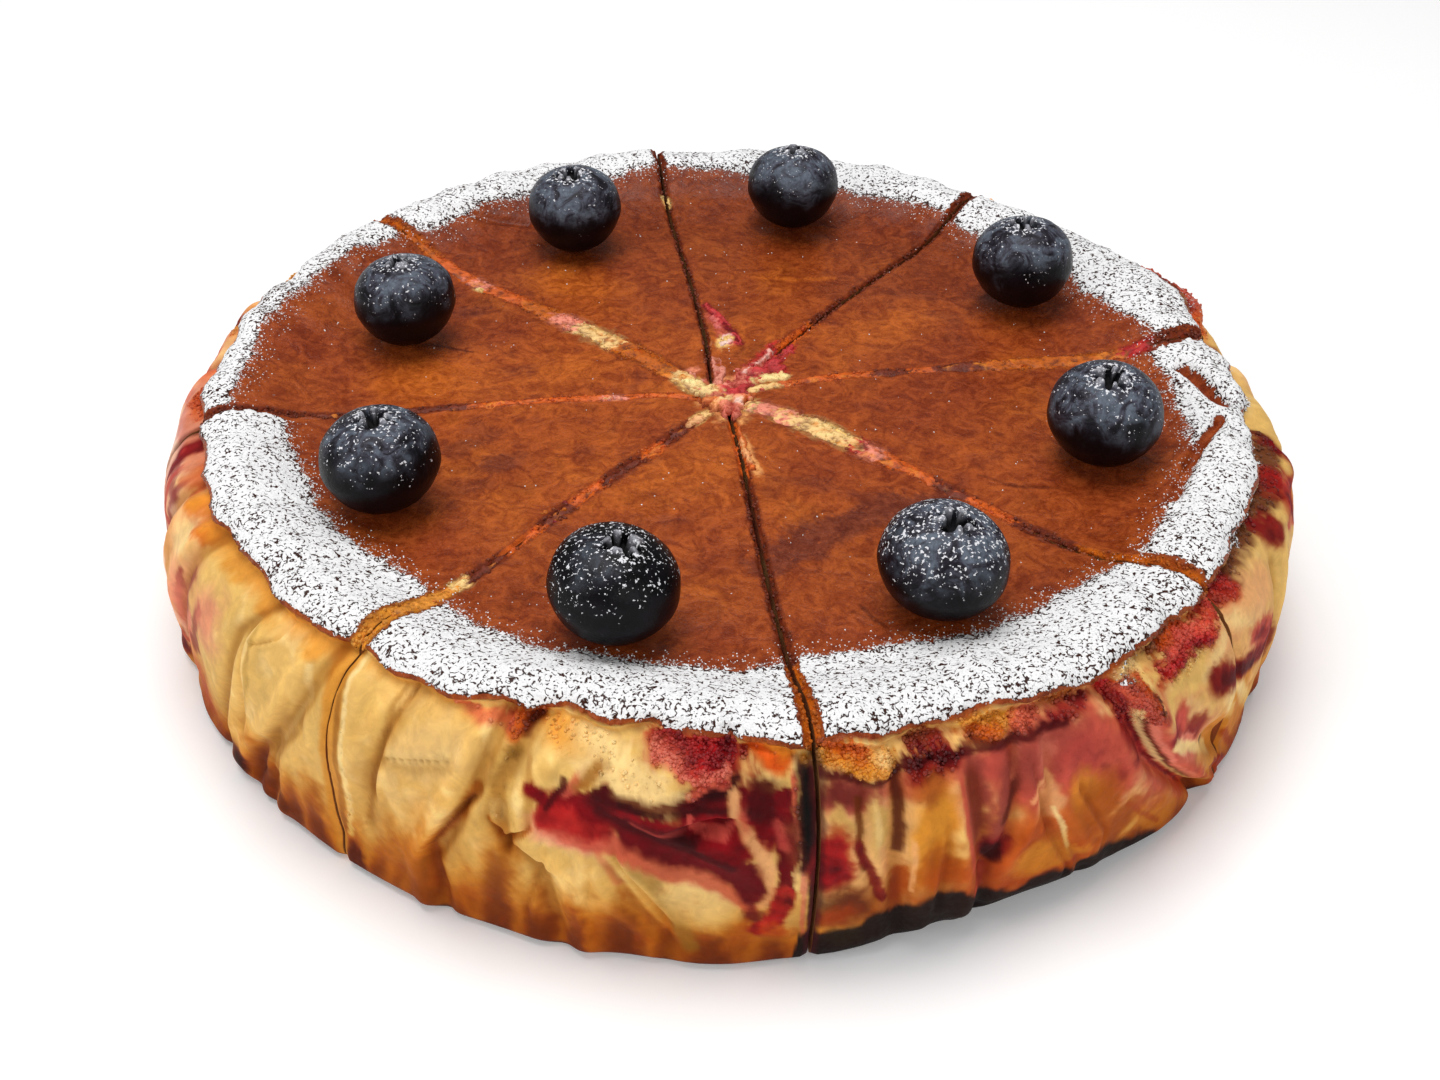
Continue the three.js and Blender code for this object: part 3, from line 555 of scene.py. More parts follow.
    stroke("rose", 2, (-80.5, 32), (-76, 33), (-70, 33.6), (-64, 33), strength=0.7),
    # painted shadow in the front cut's gap
    stroke("deep", 1.7, (-82, 36), (-82.2, 29), (-81.9, 23), strength=0.95),
    stroke("burnt", 0.9, (-82, 35.4), (-82.1, 29), (-81.8, 24), strength=0.95, soft=0.6),
    stroke("deep", 0.6, (-81.8, 25), (-81.5, 16), (-81.3, 4)),
    # painted shadow under the overhanging crumbs
    oval("mauve", -78.4, 33.2, 5.2, 3, 0, 0.95, 0.4, 0.4, 0.3),
    oval("wine", -79.4, 33.6, 3, 1.8, 0, 0.6, 0.6, 0.5, 0.3),
    oval("straw", -79.6, 28.6, 1.7, 3.4),
    oval("straw", -76.3, 27.6, 1.5, 5.2, 6),
    oval("pale", -76.4, 27.4, 0.6, 3.6, 6, 0.6, 0.6),
    stroke("peach", 0.8, (-81, 29), (-81, 25.6)),
    # painted shade in a crease
    stroke("brown", 0.6, (-78, 32.6), (-78, 26), (-77.2, 20), soft=0.6),
    oval("red", -80, 22, 3.2, 5.6, 0, 1, 0.35, 0.35, 0.2),
    oval("crimson", -80.4, 20.4, 2.4, 3.2, 0, 0.8, 0.6, 0.4, 0.2),
    oval("rust", -79.2, 12.4, 4.4, 4.2, 0, 0.8, 0.45, 0.4, 0.2),
    oval("orange", -79.6, 10.4, 3, 2.2, 0, 0.6, 0.6, 0.5, 0.2),
    stroke("crimson", 0.8, (-77.9, 25), (-76.6, 19), (-75.4, 13)),
    stroke("peach", 0.6, (-76, 24), (-75.2, 18), strength=0.7, soft=0.6),
    # painted shade in a groove
    stroke("rust", 0.9, (-74.5, 35), (-74.5, 28), (-74.5, 23)),
    oval("gold", -71.4, 25, 3.7, 8.6, 0, 1),
    oval("ochre", -71.2, 18.2, 3.8, 4.6),
    oval("amber", -70.4, 17, 2.4, 2.6, 0, 0.7, 0.6),
    oval("tan", -71.8, 32.4, 3.2, 2.2, 0, 0.75, 0.5, 0.5, 0.5),
    oval("amber", -74, 15.6, 1.5, 4.4),
    stroke("peach", 0.35, (-73.2, 25), (-73.1, 15), strength=0.6),
    oval("crimson", -71, 34.6, 4.8, 1.5, 0, 0.85, 0.4, 0.5, 0.9),
    oval("mauve", -67.4, 28, 2, 8.4, 0, 0.9, 0.4, 0.35, 0.2),
    stroke("salmon", 0.5, (-68.8, 32), (-68.4, 24), (-67, 14), soft=0.6),
    stroke("mauve", 1.6, (-64.2, 32), (-65, 26), (-65.6, 20)),
    # painted shade along a pleat's edge
    stroke("rust", 0.7, (-63.6, 30), (-65, 24), strength=0.7, soft=0.6),
    stroke("pink", 0.55, (-63, 34.6), (-64, 30.4), strength=0.95),
    oval("crimson", -65.3, 18.6, 2.7, 2.6),
    oval("wine", -65.5, 17.4, 1.7, 2.6, 10, 1, 0.3, 0.3, 0.3),
    stroke("rose", 1, (-66, 13.4), (-66.4, 9), soft=0.6),
    oval("mauve", -59.4, 31.8, 9.4, 4.2, -4, 0.9, 0.5, 0.4, 0.3),
    oval("rose", -56.4, 30, 6.4, 4.2, 10, 0.7, 0.6, 0.5, 0.3),
    oval("pink", -60.4, 31.6, 1.6, 2.4, 0, 0.6, 0.6, 0.5, 0.3),
    oval("salmon", -52.6, 24, 3.6, 9, 12, 0.9, 0.6, 0.4, 0.3),
    stroke("peach", 0.6, (-62.4, 26.6), (-60.6, 29), (-60, 27), strength=0.7, soft=0.6),
    oval("peach", -60.4, 24.4, 2.6, 3.2, 0, 0.8),
    oval("amber", -62, 18, 2.8, 4.4),
    oval("gold", -60.6, 13, 5.4, 3.6),
    oval("gold", -56.6, 23, 2.6, 4.6, 20, 0.8),
    oval("ochre", -54.6, 18, 5.4, 6.6, 20, 0.9, 0.6),
    oval("crimson", -52.6, 24, 1, 1.8, 15, 0.6, 0.6),
    stroke("light", 0.35, (-60, 23), (-58.4, 17), (-57.2, 11), soft=0.6),
    oval("gold", -57.5, 10.6, 4.5, 1.6),
    oval("ochre", -50.5, 13, 5, 5, -40),
    oval("gold", -46, 7.4, 6, 2.6, -40),
    stroke("amber", 0.5, (-51, 16), (-48, 10), (-45, 5), strength=0.6, soft=0.6),
    # crumbs under the rim
    oval("honey", -78.4, 37.2, 6, 1.8, -4, 1, 0.3, 0.5, 1),
    oval("orange", -78.8, 38, 5.4, 1.1, -4, 0.8, 0.5, 0.6, 1),
    oval("honey", -75.2, 36, 2.4, 1.5, -20, 1, 0.4, 0.6, 1),
    oval("pale", -75.4, 36.4, 1.6, 0.6, -20, 0.7, 0.5, 0.7, 1),
    oval("crimson", -71, 36.6, 4, 1.3, 0, 0.85, 0.4, 0.6, 1),
    oval("tan", -71.4, 37.8, 3.4, 0.8, 0, 0.7, 0.5, 0.6, 1),
    oval("honey", -65, 37.2, 5.4, 1.3, -4, 1, 0.35, 0.6, 1),
    oval("orange", -66, 36.4, 3.4, 0.7, -4, 0.7, 0.5, 0.7, 1),
    oval("salmon", -61.6, 36.6, 3.4, 0.9, 10, 0.8, 0.4, 0.6, 1),
    oval("tan", -57.8, 37.8, 4.4, 0.9, 0, 0.9, 0.4, 0.6, 0.9),
    oval("crimson", -57, 36.2, 4.6, 0.9, 4, 0.8, 0.4, 0.6, 0.8),
    # painted shadow lines under the overhanging crumbs
    stroke("wine", 0.5, (-81, 35.2), (-79, 35.4), (-77, 34.8), (-75, 34.2), (-73.6, 35.6)),
    stroke("wine", 0.6, (-73.4, 35.2), (-70, 34.7), (-67, 35.6), (-64, 35), (-61, 35.4), (-58, 35.2),
           ragged=0.6),
    # the torn crust and fruit at the right
    oval("rose", -46, 22, 8, 13, 40),
    oval("peach", -32, 22, 14, 14, 0, 0.6, 0.6),
    stroke("crimson", 2, (-51.6, 31), (-50.2, 27), (-47.6, 22.6), rough=0.3),
    oval("red", -41.6, 34.8, 9.5, 2.5, 0, 1, 0.3, 0.45, 1),
    oval("salmon", -40.6, 35.8, 8.5, 0.9, 0, 0.7, 0.5, 0.8, 1),
    oval("rust", -44, 37.6, 8, 1.2, 0, 0.9, 0.5, 0.6, 1),
    oval("orange", -42, 37, 6, 0.8, 0, 0.8, 0.5, 0.7, 1),
    oval("crimson", -41.8, 33, 5.6, 0.9, 8, 1, 0.35, 0.4, 0.6),
    oval("cream", -43.6, 31, 8.5, 2.2, 8, 1, 0.3),
    oval("peach", -34.4, 33, 8.5, 2.6, 14, 1, 0.35, 0.35, 0.3),
    oval("light", -38, 31.4, 4.6, 1, 20, 0.7, 0.4, 0.5, 0.5),
    oval("rose", -45.4, 26.4, 4.2, 3.6, 45, 0.95, 0.4, 0.35, 0.2),
    stroke("crimson", 1.4, (-47, 26.4), (-44.6, 22.6), (-42.2, 20)),
    oval("crimson", -42.4, 23.4, 2.4, 2.6, 45, 0.8),
    oval("gold", -33.5, 15, 8.5, 11, 35, 0.95, 0.35, 0.25),
    oval("light", -36.2, 20.4, 1.6, 6, 38, 0.9, 0.5, 0.2),
    oval("light", -30.8, 15, 1.4, 7, 42, 0.7, 0.5, 0.2),
    oval("honey", -33.6, 10, 1.4, 6, 42, 0.8, 0.5, 0.2),
    oval("pink", -43.2, 19.6, 5.4, 1.8, -52),
    stroke("light", 0.9, (-46.6, 24), (-43.4, 19.6), (-40.6, 16), (-37.6, 12), strength=0.95),
    oval("rust", -39.2, 16.2, 3, 0.9, -58),
    oval("salmon", -41.5, 10, 5.4, 2.6, -50),
    stroke("rust", 0.5, (-43, 13), (-40, 8.6), (-37.4, 4), strength=0.7),
    stroke("crimson", 0.9, (-36.8, 8), (-34.8, 6), (-32.8, 3.4)),
    oval("rose", -34, 3, 5, 2, -30, 0.8),
    stroke("red", 1.3, (-53, 37.4), (-51.6, 34.4), (-50.6, 31), strength=1, rough=0.8),
    stroke("orange", 0.7, (-52, 37.6), (-50.4, 35.6), (-49.6, 32), strength=1, rough=0.8),
    # painted shadow in the hollow under the sugar flap
    oval("rust", -50.2, 35, 2.9, 3.4, 15, 0.95, 0.3, 0.5, 1),
    oval("orange", -49.6, 35.8, 1.8, 1.5, 20, 0.9, 0.4, 0.7, 1),
    oval("crimson", -51.8, 33.4, 1.4, 3, 10, 0.9, 0.4, 0.6, 1),
    stroke("pale", 0.6, (-51.8, 38.4), (-50, 37.8), (-48.2, 36.8), strength=0.95, rough=0.8),
    # the rolled folds of the torn edge, with thin painted highlight and shade lines along them
    stroke("salmon", 1.6, (-51.4, 36), (-49.8, 29), (-48, 23), (-45.2, 17), (-41.8, 11), (-38, 5)),
    stroke("crimson", 0.35, (-52, 36), (-50.6, 29.6), (-48.8, 23), (-46, 17), (-42.6, 11), (-39, 5)),
    stroke("light", 0.3, (-51, 34), (-49.8, 28), (-47.8, 22), (-45, 16.4), (-41.4, 10.4), (-37.6, 4.4)),
    stroke("rust", 0.3, (-50.4, 32), (-49.2, 27.4), (-47.2, 21.4), (-44.4, 15.8), (-40.8, 9.8)),
    stroke("pink", 0.4, (-49.8, 31), (-48.5, 26.4), (-46.4, 20.8), (-43.6, 15), (-40, 9)),
    # right side; its light strokes are painted highlights on the edges of its flows
    oval("light", -31, 31.8, 7, 1.6, -12, 0.8),
    stroke("light", 1, (-37.4, 26), (-33, 19.6), (-29, 12.6), (-25.6, 6), soft=0.6),
    stroke("light", 1.4, (-22, 29.4), (-17, 21.6), (-11.6, 13), soft=0.6),
    stroke("amber", 0.8, (-34, 11), (-31.4, 5.4), (-29, 1), soft=0.6),
    stroke("crimson", 2.4, (-39.2, 28), (-35.4, 26), (-31.6, 23), (-27, 20.6), strength=0.95, rough=0.2),
    stroke("wine", 1, (-38.4, 27.8), (-34, 24.6), (-29.6, 20.4), strength=0.75, soft=0.6),
    stroke("rose", 2.2, (-31, 28), (-28, 25.4), (-24.6, 22.4), strength=0.95, rough=0.2),
    stroke("crimson", 1, (-30.6, 27.4), (-27, 23.4), strength=0.7),
    stroke("crimson", 2, (-25, 22), (-23.4, 18), (-23.8, 12)),
    oval("peach", -28, 32.4, 7.5, 3.4, -8),
    oval("cream", -20, 27, 5, 6, -30),
    stroke("wine", 1.3, (-36, 37.6), (-30, 37.6), (-24, 37), (-14, 36.8), (-4, 36), ragged=0.6, rough=0.7),
    stroke("red", 1.4, (-37, 36.4), (-32, 36.6), ragged=0.6, rough=0.9),
    oval("crimson", -19.4, 34, 4.4, 2.2, -12, 0.95, 0.4, 0.5, 0.3),
    oval("red", -11.4, 31.6, 7.4, 4.6, -30, 0.95, 0.4, 0.4, 0.2),
    stroke("salmon", 0.7, (-16, 32), (-12, 27.6), (-9, 24.4)),
    stroke("crimson", 0.9, (-13.4, 34), (-9.4, 28), (-8.2, 22)),
    oval("peach", -15, 22, 6.5, 7, -40),
    oval("cream", -12.4, 15, 4, 8, 40, 0.8),
    stroke("rose", 2.8, (-19.4, 17), (-16, 10), (-12.4, 4), strength=0.95),
    stroke("crimson", 1.5, (-19.2, 14.4), (-16.6, 8), (-15, 3)),
    stroke("wine", 0.8, (-19.4, 15.6), (-16.6, 10), (-14.6, 4), soft=0.6),
    stroke("light", 0.6, (-8.6, 21), (-7.4, 14), (-8, 8), soft=0.6),
    oval("rust", -20.4, 14, 1.2, 2.4, 25, 0.7),
    stroke("crimson", 0.4, (-7.4, 30), (-8, 24), (-8.4, 18), (-7.6, 12)),
    stroke("crimson", 3.4, (-5.4, 33), (-4, 24), (-3, 18), strength=0.95),
    stroke("wine", 1.2, (-3, 21), (-1, 13), (1, 6), strength=0.7, soft=0.6),
    stroke("red", 2, (-3, 28), (-2, 24), ragged=0.6),
    stroke("wine", 2.4, (1, 20), (1.6, 12), (2.6, 4), ragged=0.6),
    oval("peach", -4.4, 8, 5.4, 5),
    stroke("rose", 1.2, (-12, 1.2), (-5, 1.6), (1, 1.2), ragged=0.6),
    oval("pink", 10, 22, 9, 14, 0, 0.6, 0.6),
    oval("rose", 27, 36.6, 17, 2.4, 0, 0.9, 0.4, 0.5, 0.6),
    stroke("fruit", 0.8, (20, 38), (28, 38.2), (35, 38)),
]
# how high the burnt underside reaches, painted near black partly as shadow in its hollow: azimuth, height
BURNT_AND_SHADOW_HEIGHTS = [
    (-83, 0), (-82.4, 7), (-80, 7.4), (-77, 8), (-75.6, 10.5), (-74.2, 8.6), (-73.2, 11.6), (-71, 12.6),
    (-68.4, 12), (-66.4, 9), (-64.4, 8), (-62, 6), (-60.8, 8), (-58.6, 8.8), (-56.4, 7.2), (-55.6, 5.2),
    (-54.6, 8.4), (-52.6, 7.8), (-50, 5.4), (-46, 3), (-43, 1), (-40, 0),
]
# ovals of fruit round the back, strewn unevenly
BACK_FRUIT = dict(seed=5, count=22, low=24, high=176)


def back_paint():
    draw = np.random.default_rng(BACK_FRUIT["seed"])
    layers = []
    for _ in range(BACK_FRUIT["count"]):
        azimuth = draw.uniform(BACK_FRUIT["low"], BACK_FRUIT["high"])
        azimuth = azimuth if azimuth < 100 else azimuth - 360
        z, long, wide = draw.uniform(8, 35), draw.uniform(3, 9), draw.uniform(1.4, 4)
        lean = draw.uniform(-40, 40) + (90 if draw.random() < 0.5 else 0)
        layers.append(oval("pink", azimuth, z, 1.5 * long, 2 * wide, lean, 0.6, 0.6, 0.5))
        tone = ("fruit", "rose", "red")[int(draw.integers(3))]
        layers.append(oval(tone, azimuth, z, long, wide, lean, 0.9, 0.4, 0.5, 0.35))
    for _ in range(BACK_FRUIT["count"]):
        azimuth = draw.uniform(BACK_FRUIT["low"], BACK_FRUIT["high"])
        azimuth = azimuth if azimuth < 100 else azimuth - 360
        layers = tongue(azimuth, draw.uniform(6, 17), draw.uniform(2.6, 6), draw.uniform(0.5, 0.8)) + layers
        tone = ("honey", "orange", "salmon", "pale")[int(draw.integers(4))]
        place, long, wide = azimuth + draw.normal() * 9, draw.uniform(2, 6), draw.uniform(0.6, 1.4)
        layers.append(oval(tone, place, 37, long, wide, 0, 0.9, 0.4, 0.5, 1))
    return layers


TOP_PAINT = [  # places in millimetres from the pole
    oval("light crust", -54, 4, 11, 6, 10, 0.7, 0.6, 0.6),
    oval("light crust", -29, 10, 9, 5, 30, 0.6, 0.6, 0.6),
    oval("light crust", -30, 41, 11, 5, -10, 0.7, 0.6, 0.6),
    oval("light crust", 29, 25, 11, 7, 30, 0.6, 0.6, 0.6),
    oval("light crust", 2, -22, 8, 9, 0, 0.5, 0.7, 0.6),
    oval("light crust", -14, -25, 12, 5, 40, 0.5, 0.7, 0.6),
    oval("red crust", 36, 6, 22, 14, 0, 0.45, 0.7),
    oval("red crust", -12, 45, 12, 12, 0, 0.4, 0.7),
    oval("purple crust", -50, 29, 4.5, 1.8, 10, 0.6, 0.5, 0.6),
    oval("purple crust", -44, -16, 4.5, 1.8, 30, 0.6, 0.5, 0.6),
    oval("purple crust", -38, -21, 4.5, 2.4, 40, 0.7, 0.5, 0.6),
    oval("purple crust", 26, 44, 9, 5, 20, 0.35, 0.7, 0.6),
    stroke("purple crust", 3.4, (7, -47), (12, -43), (18, -37), (27, -31), (37, -29), soft=0.35),
    stroke("dark crust", 0.4, (-56, 16.6), (-51, 15), (-47, 14)),
    stroke("dark crust", 0.4, (21.8, -56.5), (25.4, -61.1)),
    stroke("dark crust", 0.35, (20, -58), (24.4, -60), strength=0.7),
    stroke("dark crust", 0.5, (-57, 62), (-50, 60.5), (-42, 62.5)),
    stroke("dark crust", 0.4, (50, 40), (58, 45), (62, 52), strength=0.7),
    stroke("dark crust", 0.4, (44, -21), (50, -24), (57, -24), strength=0.6),
    stroke("light crust", 0.7, (5, 45), (13, 44.4), (21, 46), strength=0.7),
    # crumbs and fruit round the crossing
    stroke("rose", 1.6, (-2.6, 30), (-0.9, 25), (0.2, 20), rough=0.4),
    stroke("fruit", 0.8, (-4.2, 34), (-1.6, 29), (1.2, 23.6), (2.8, 19.6), strength=1, rough=0.5),
    oval("pale", -0.2, 20.4, 1.5, 2.6, -15, 1, 0.3, 0.4, 0.6),
    stroke("red", 2.3, (1.4, 3.6), (5.5, 10), (10.6, 18.8), strength=1, soft=0.25, rough=0.7),
    stroke("fruit", 0.7, (4, 5), (8, 12), (12.6, 20), strength=0.7, rough=0.5),
    stroke("pink", 0.6, (0.6, 5.6), (4, 11), ragged=0.6, rough=0.5),
    oval("pale", 8.6, 8.2, 3.3, 1.4, 8, 1, 0.3, 0.4, 0.6),
    oval("red", 10.2, 11, 1.3, 2.2, 20, 1, 0.3, 0.4, 0.6),
    oval("pink", -5.6, 10, 1.3, 0.9, 40, 0.9, 0.4, 0.4, 0.5),
    oval("pale", -4.8, 4.2, 4.2, 2.3, -42, 1, 0.3, 0.4, 0.7),
    oval("peach", 0.6, -0.6, 3.8, 6.2, 10, 0.9, 0.35, 0.6, 0.8),
    oval("red", 1.8, 2.4, 2.2, 1.8, 60, 0.9, 0.4, 0.6, 0.8),
    oval("pink", -0.6, 5.6, 1.2, 1.8, 0, 0.9, 0.4, 0.6, 0.8),
    oval("pale", 1.2, -4.2, 1.3, 1.9, 0, 0.9, 0.4, 0.6, 0.8),
    oval("pale", 4.4, 0.3, 2.2, 1.4, -30, 1, 0.4, 0.5, 0.7),
    stroke("peach", 0.9, (3.2, -11), (4.2, -16), (5.8, -22), rough=0.5),
    oval("pale", -4.9, -6.8, 2.2, 1.1, 50, 1, 0.3, 0.3, 0.5),
    oval("peach", -20.2, -0.2, 1.9, 0.9, 5, 1, 0.3, 0.3, 0.5),
    oval("pale", -48.7, 37.3, 1.6, 0.9, -38, 1, 0.3, 0.3, 0.5),
]

# ---------------------------------------------------------------- sugar
# where the dense sugar begins: azimuth, distance from the pole
SUGAR_FROM = [
    (-180, 85), (-171.5, 86), (-170.5, 77), (-165, 76), (-155, 75), (-150, 75.5), (-143, 74), (-137, 72.5),
    (-127, 72.5), (-119, 74), (-110, 75), (-104, 73), (-96, 73.5), (-88, 73.5), (-82, 71), (-75, 70.5),
    (-66, 72), (-60, 74), (-52, 75), (-45, 76), (-39, 77.5), (-34, 80.5), (-24, 80), (-12, 82), (0, 81),
    (12, 80), (14, 83), (20, 82.5), (29, 80), (36, 82), (45, 80), (52, 79), (57, 82.5), (70, 81), (80, 82),
    (91, 83.5), (100, 85.5), (108, 84), (120, 82.5), (128, 83.5), (136, 81), (141, 83), (151, 85.5), (165, 86),
    (172, 86.5), (180, 85),
]

# ---------------------------------------------------------------- the slices' surface
TOP_ROWS = np.linspace(TIP_RADIUS, FLAT_RADIUS, 86)[:-1]
RIM_ROWS = np.linspace(0, 1, 54)
WALL_ROWS = np.concatenate([np.linspace(0.006, 0.1, 12), np.linspace(0.112, 1, 84)])
BASE_ROWS = np.array([93.0, 80, 58, 39, 20, 7, TIP_RADIUS])
COLUMN_STEP = dict(front=0.21, back=0.27)  # degrees
GROOVE_SHARES = np.array([0, 0.2, 0.4, 0.6, 0.8, 1])
TORN_LIP = [(-97, 12, 1.0), (-75, 16, 0.7), (-45, 9, 1.0), (28, 12, 0.8)]  # azimuth, half width, how much more
BASE_FULLER = 1.7
SUGARED_BREAKS = BREAKS[:3]
DEEPEST_SHADED = 2.0  # deeper folds are shaded by the light alone
CUT_SIDE = 60  # how many degrees a cut's own side spans, either way
FRONT_SLICES = (3, 4, 5, 6)
SMALL_FOLDS = [  # depth, width, raised side, path of height and azimuth
    fold(0.45, 0.6, 1, (32, -112.6), (29, -118), (28, -119.4)),
    fold(0.9, 0.7, -1, (28, -110), (22, -113), (14, -115)),
    fold(0.8, 0.6, 1, (24.5, -109.2), (21.6, -107.6)),
    fold(0.8, 0.6, -1, (25, -105.4), (21.6, -107.4)),
    fold(0.7, 0.6, 1, (36, -118.8), (30, -120), (22, -120.6)),
    fold(0.6, 0.6, 1, (22, -98), (16, -95.6), (10, -93.5)),
    fold(0.5, 0.5, 1, (20, -104), (14, -105), (8, -106)),
    fold(0.5, 0.6, -1, (20, -100), (12, -100.6), (6, -100)),
    fold(0.6, 0.6, 1, (35, -134.6), (33, -137)),
    fold(0.6, 0.7, 1, (34, -138), (24, -137.6), (14, -139)),
    fold(0.6, 0.7, -1, (28, -131), (18, -134), (10, -135.6)),
    fold(0.7, 0.8, 1, (33, -77.5), (24, -77.6), (14, -76)),
    fold(0.6, 0.6, -1, (24, -70), (12, -70.4)),
    fold(0.6, 0.6, 1, (30, -62), (18, -60), (8, -57)),
    fold(0.6, 0.6, -1, (24, -57), (12, -53)),
]


def rim_height(azimuth, r, share):
    """Height of the rim, with its breaks."""
    x, y = r * np.cos(np.radians(azimuth)), r * np.sin(np.radians(azimuth))
    waves = 0.3 * wave(azimuth, 22, 0) + 0.25 * wave(azimuth, 54, r * 0.2)
    z = curve(RIM_PROFILE, share) + share * (waves + change_at(RIM_RISES, azimuth))
    for start, end, width, depth in BREAKS:
        away = from_path([start, end], x.ravel(), y.ravel()).reshape(x.shape)
        z = z - depth * bell(away / (0.75 * width))
    return z


def lip_height(azimuth):
    return rim_height(azimuth, lip_radius(azimuth), np.ones_like(azimuth))


def outline(rows, directions):
    """Radius and height of every row at every direction, with the places from the crossing."""
    kinds, values = rows
    ux, uy = np.cos(np.radians(directions)), np.sin(np.radians(directions))
    value = np.broadcast_to(values[:, None], directions.shape)
    flat = (kinds == TOP) | (kinds == BASE)
    centred = np.where(flat[:, None], smooth(20, 39, value), 1.0)
    ox, oy = CROSSING[0] * centred, CROSSING[1] * centred
    before = ox * ux + oy * uy
    beside = ox**2 + oy**2 - before**2
    azimuth = directions
    for _ in range(3):
        r = value.astype(float).copy()
        z = np.where(kinds[:, None] == TOP, TOP_LEVEL, 0.0) * np.ones_like(r)
        rim, wall = kinds == RIM, kinds == WALL
        lip = lip_radius(azimuth[rim])
        r[rim] = FLAT_RADIUS + value[rim] * (lip - FLAT_RADIUS)
        z[rim] = rim_height(azimuth[rim], r[rim], value[rim])
        height = (1 - value[wall]) * LIP_LEVEL
        r[wall] = wall_surface(azimuth[wall], height)
        z[wall] = height * (lip_height(azimuth[wall]) / LIP_LEVEL)
        distance = np.sqrt(r**2 - beside) - before
        x, y = CROSSING[0] + distance * ux, CROSSING[1] + distance * uy
        turned = np.degrees(np.arctan2(y, x))
        azimuth = turned + 360 * np.round((directions - turned) / 360)
    tip = (kinds == TOP)[:, None] & (value < TIP_END)
    z = z - np.where(tip, TIP_SINK * (1 - smooth(TIP_RADIUS, TIP_END, value)), 0)
    return x, y, z, distance, azimuth


def along(one, key, distance):
    return np.interp(distance, CUT_AT, one[key])


def sway(one, distance):
    """How far a cut runs aside of its straight line, held back near the crossing."""
    most = STEEPEST_SWAY * distance
    return np.clip(along(one, "aside", distance), -most, most)


def from_crossing(x, y):
    """Distance and direction, in degrees, seen from the crossing of the cuts."""
    cx, cy = x - CROSSING[0], y - CROSSING[1]
    return np.hypot(cx, cy), np.degrees(np.arctan2(cy, cx))


def crumb_tones(one, distance):
    """Colours of the crumb along a cut."""
    starts = [start for start, _ in one["tones"]]
    index = np.clip(np.searchsorted(starts, distance, side="right") - 1, 0, None)
    return np.array([TONES[name] for _, name in one["tones"]])[index]


def beside_cut(rows, one, toward, sideways):
    """Directions a given way beside a cut, one for each row, with their distances from the crossing."""
    distance = outline(rows, np.full((len(rows[0]), 1), toward))[3][:, 0]
    share = np.clip((sway(one, distance) + sideways) / distance, -1, 1)
    return toward + np.degrees(np.arcsin(share)), distance


def cut_side(rows, one, toward, side, field):
    """Directions, fall and inward pull for the columns of a cut's torn edge. side is 1 or -1."""
    kinds, values = rows
    upper = (kinds == TOP) | (kinds == RIM)
    walls = kinds == WALL
    distance = beside_cut(rows, one, toward, 0)[1]
    near_tip = ((kinds == TOP) | (kinds == BASE)) & (values < TIP_END)
    points = np.stack([distance, values * 3, np.full(len(values), 5.0 * side)], 1)
    torn = along(one, "groove", distance) * (1 + 0.35 * field(points, 2.5, 2) + 0.2 * field(points, 0.9, 2))
    torn = np.where(near_tip, torn * smooth(TIP_RADIUS, TIP_END, distance), torn)
    shut = along(one, "shut", distance)
    gap = KNIFE * (1 - np.where(kinds == BASE, 0, 0.86) * shut)
    slope = GROOVE_SLOPE * (1 - 0.8 * shut)
    columns, falls, pulls = [], [], []
    for share in GROOVE_SHARES:
        offset = side * (gap + share * torn + (SOUND_MARGIN if share == 1 else 0))
        columns.append(beside_cut(rows, one, toward, offset)[0])
        rest = (1 - share) ** 0.8
        falls.append(np.where(upper, slope * torn * rest, 0))
        pulls.append(np.where(walls, WALL_TEAR * torn * rest / distance, 0))
    return np.array(columns).T, np.array(falls).T, np.array(pulls).T


def fill_side(points_r, top_count, upper, lower):
    """Triangles of a cut face, between the skin's end and the base's end."""
    triangles = []
    i, j = 0, 0
    while i < top_count - 1 or j < len(lower) - 2:
        next_i = points_r[upper[i + 1]] if i < top_count - 1 else 1e9
        next_j = points_r[lower[j + 1]] if j < len(lower) - 2 else 1e9
        if next_i <= next_j:
            triangles.append((upper[i], lower[j], upper[i + 1]))
            i += 1
        else:
            triangles.append((upper[i], lower[j], lower[j + 1]))
            j += 1
    corner = lower[j + 1]
    triangles.append((upper[i], lower[j], corner))
    for k in range(top_count - 1, len(upper) - 1):
        if upper[k + 1] != corner:
            triangles.append((upper[k], corner, upper[k + 1]))
    return triangles


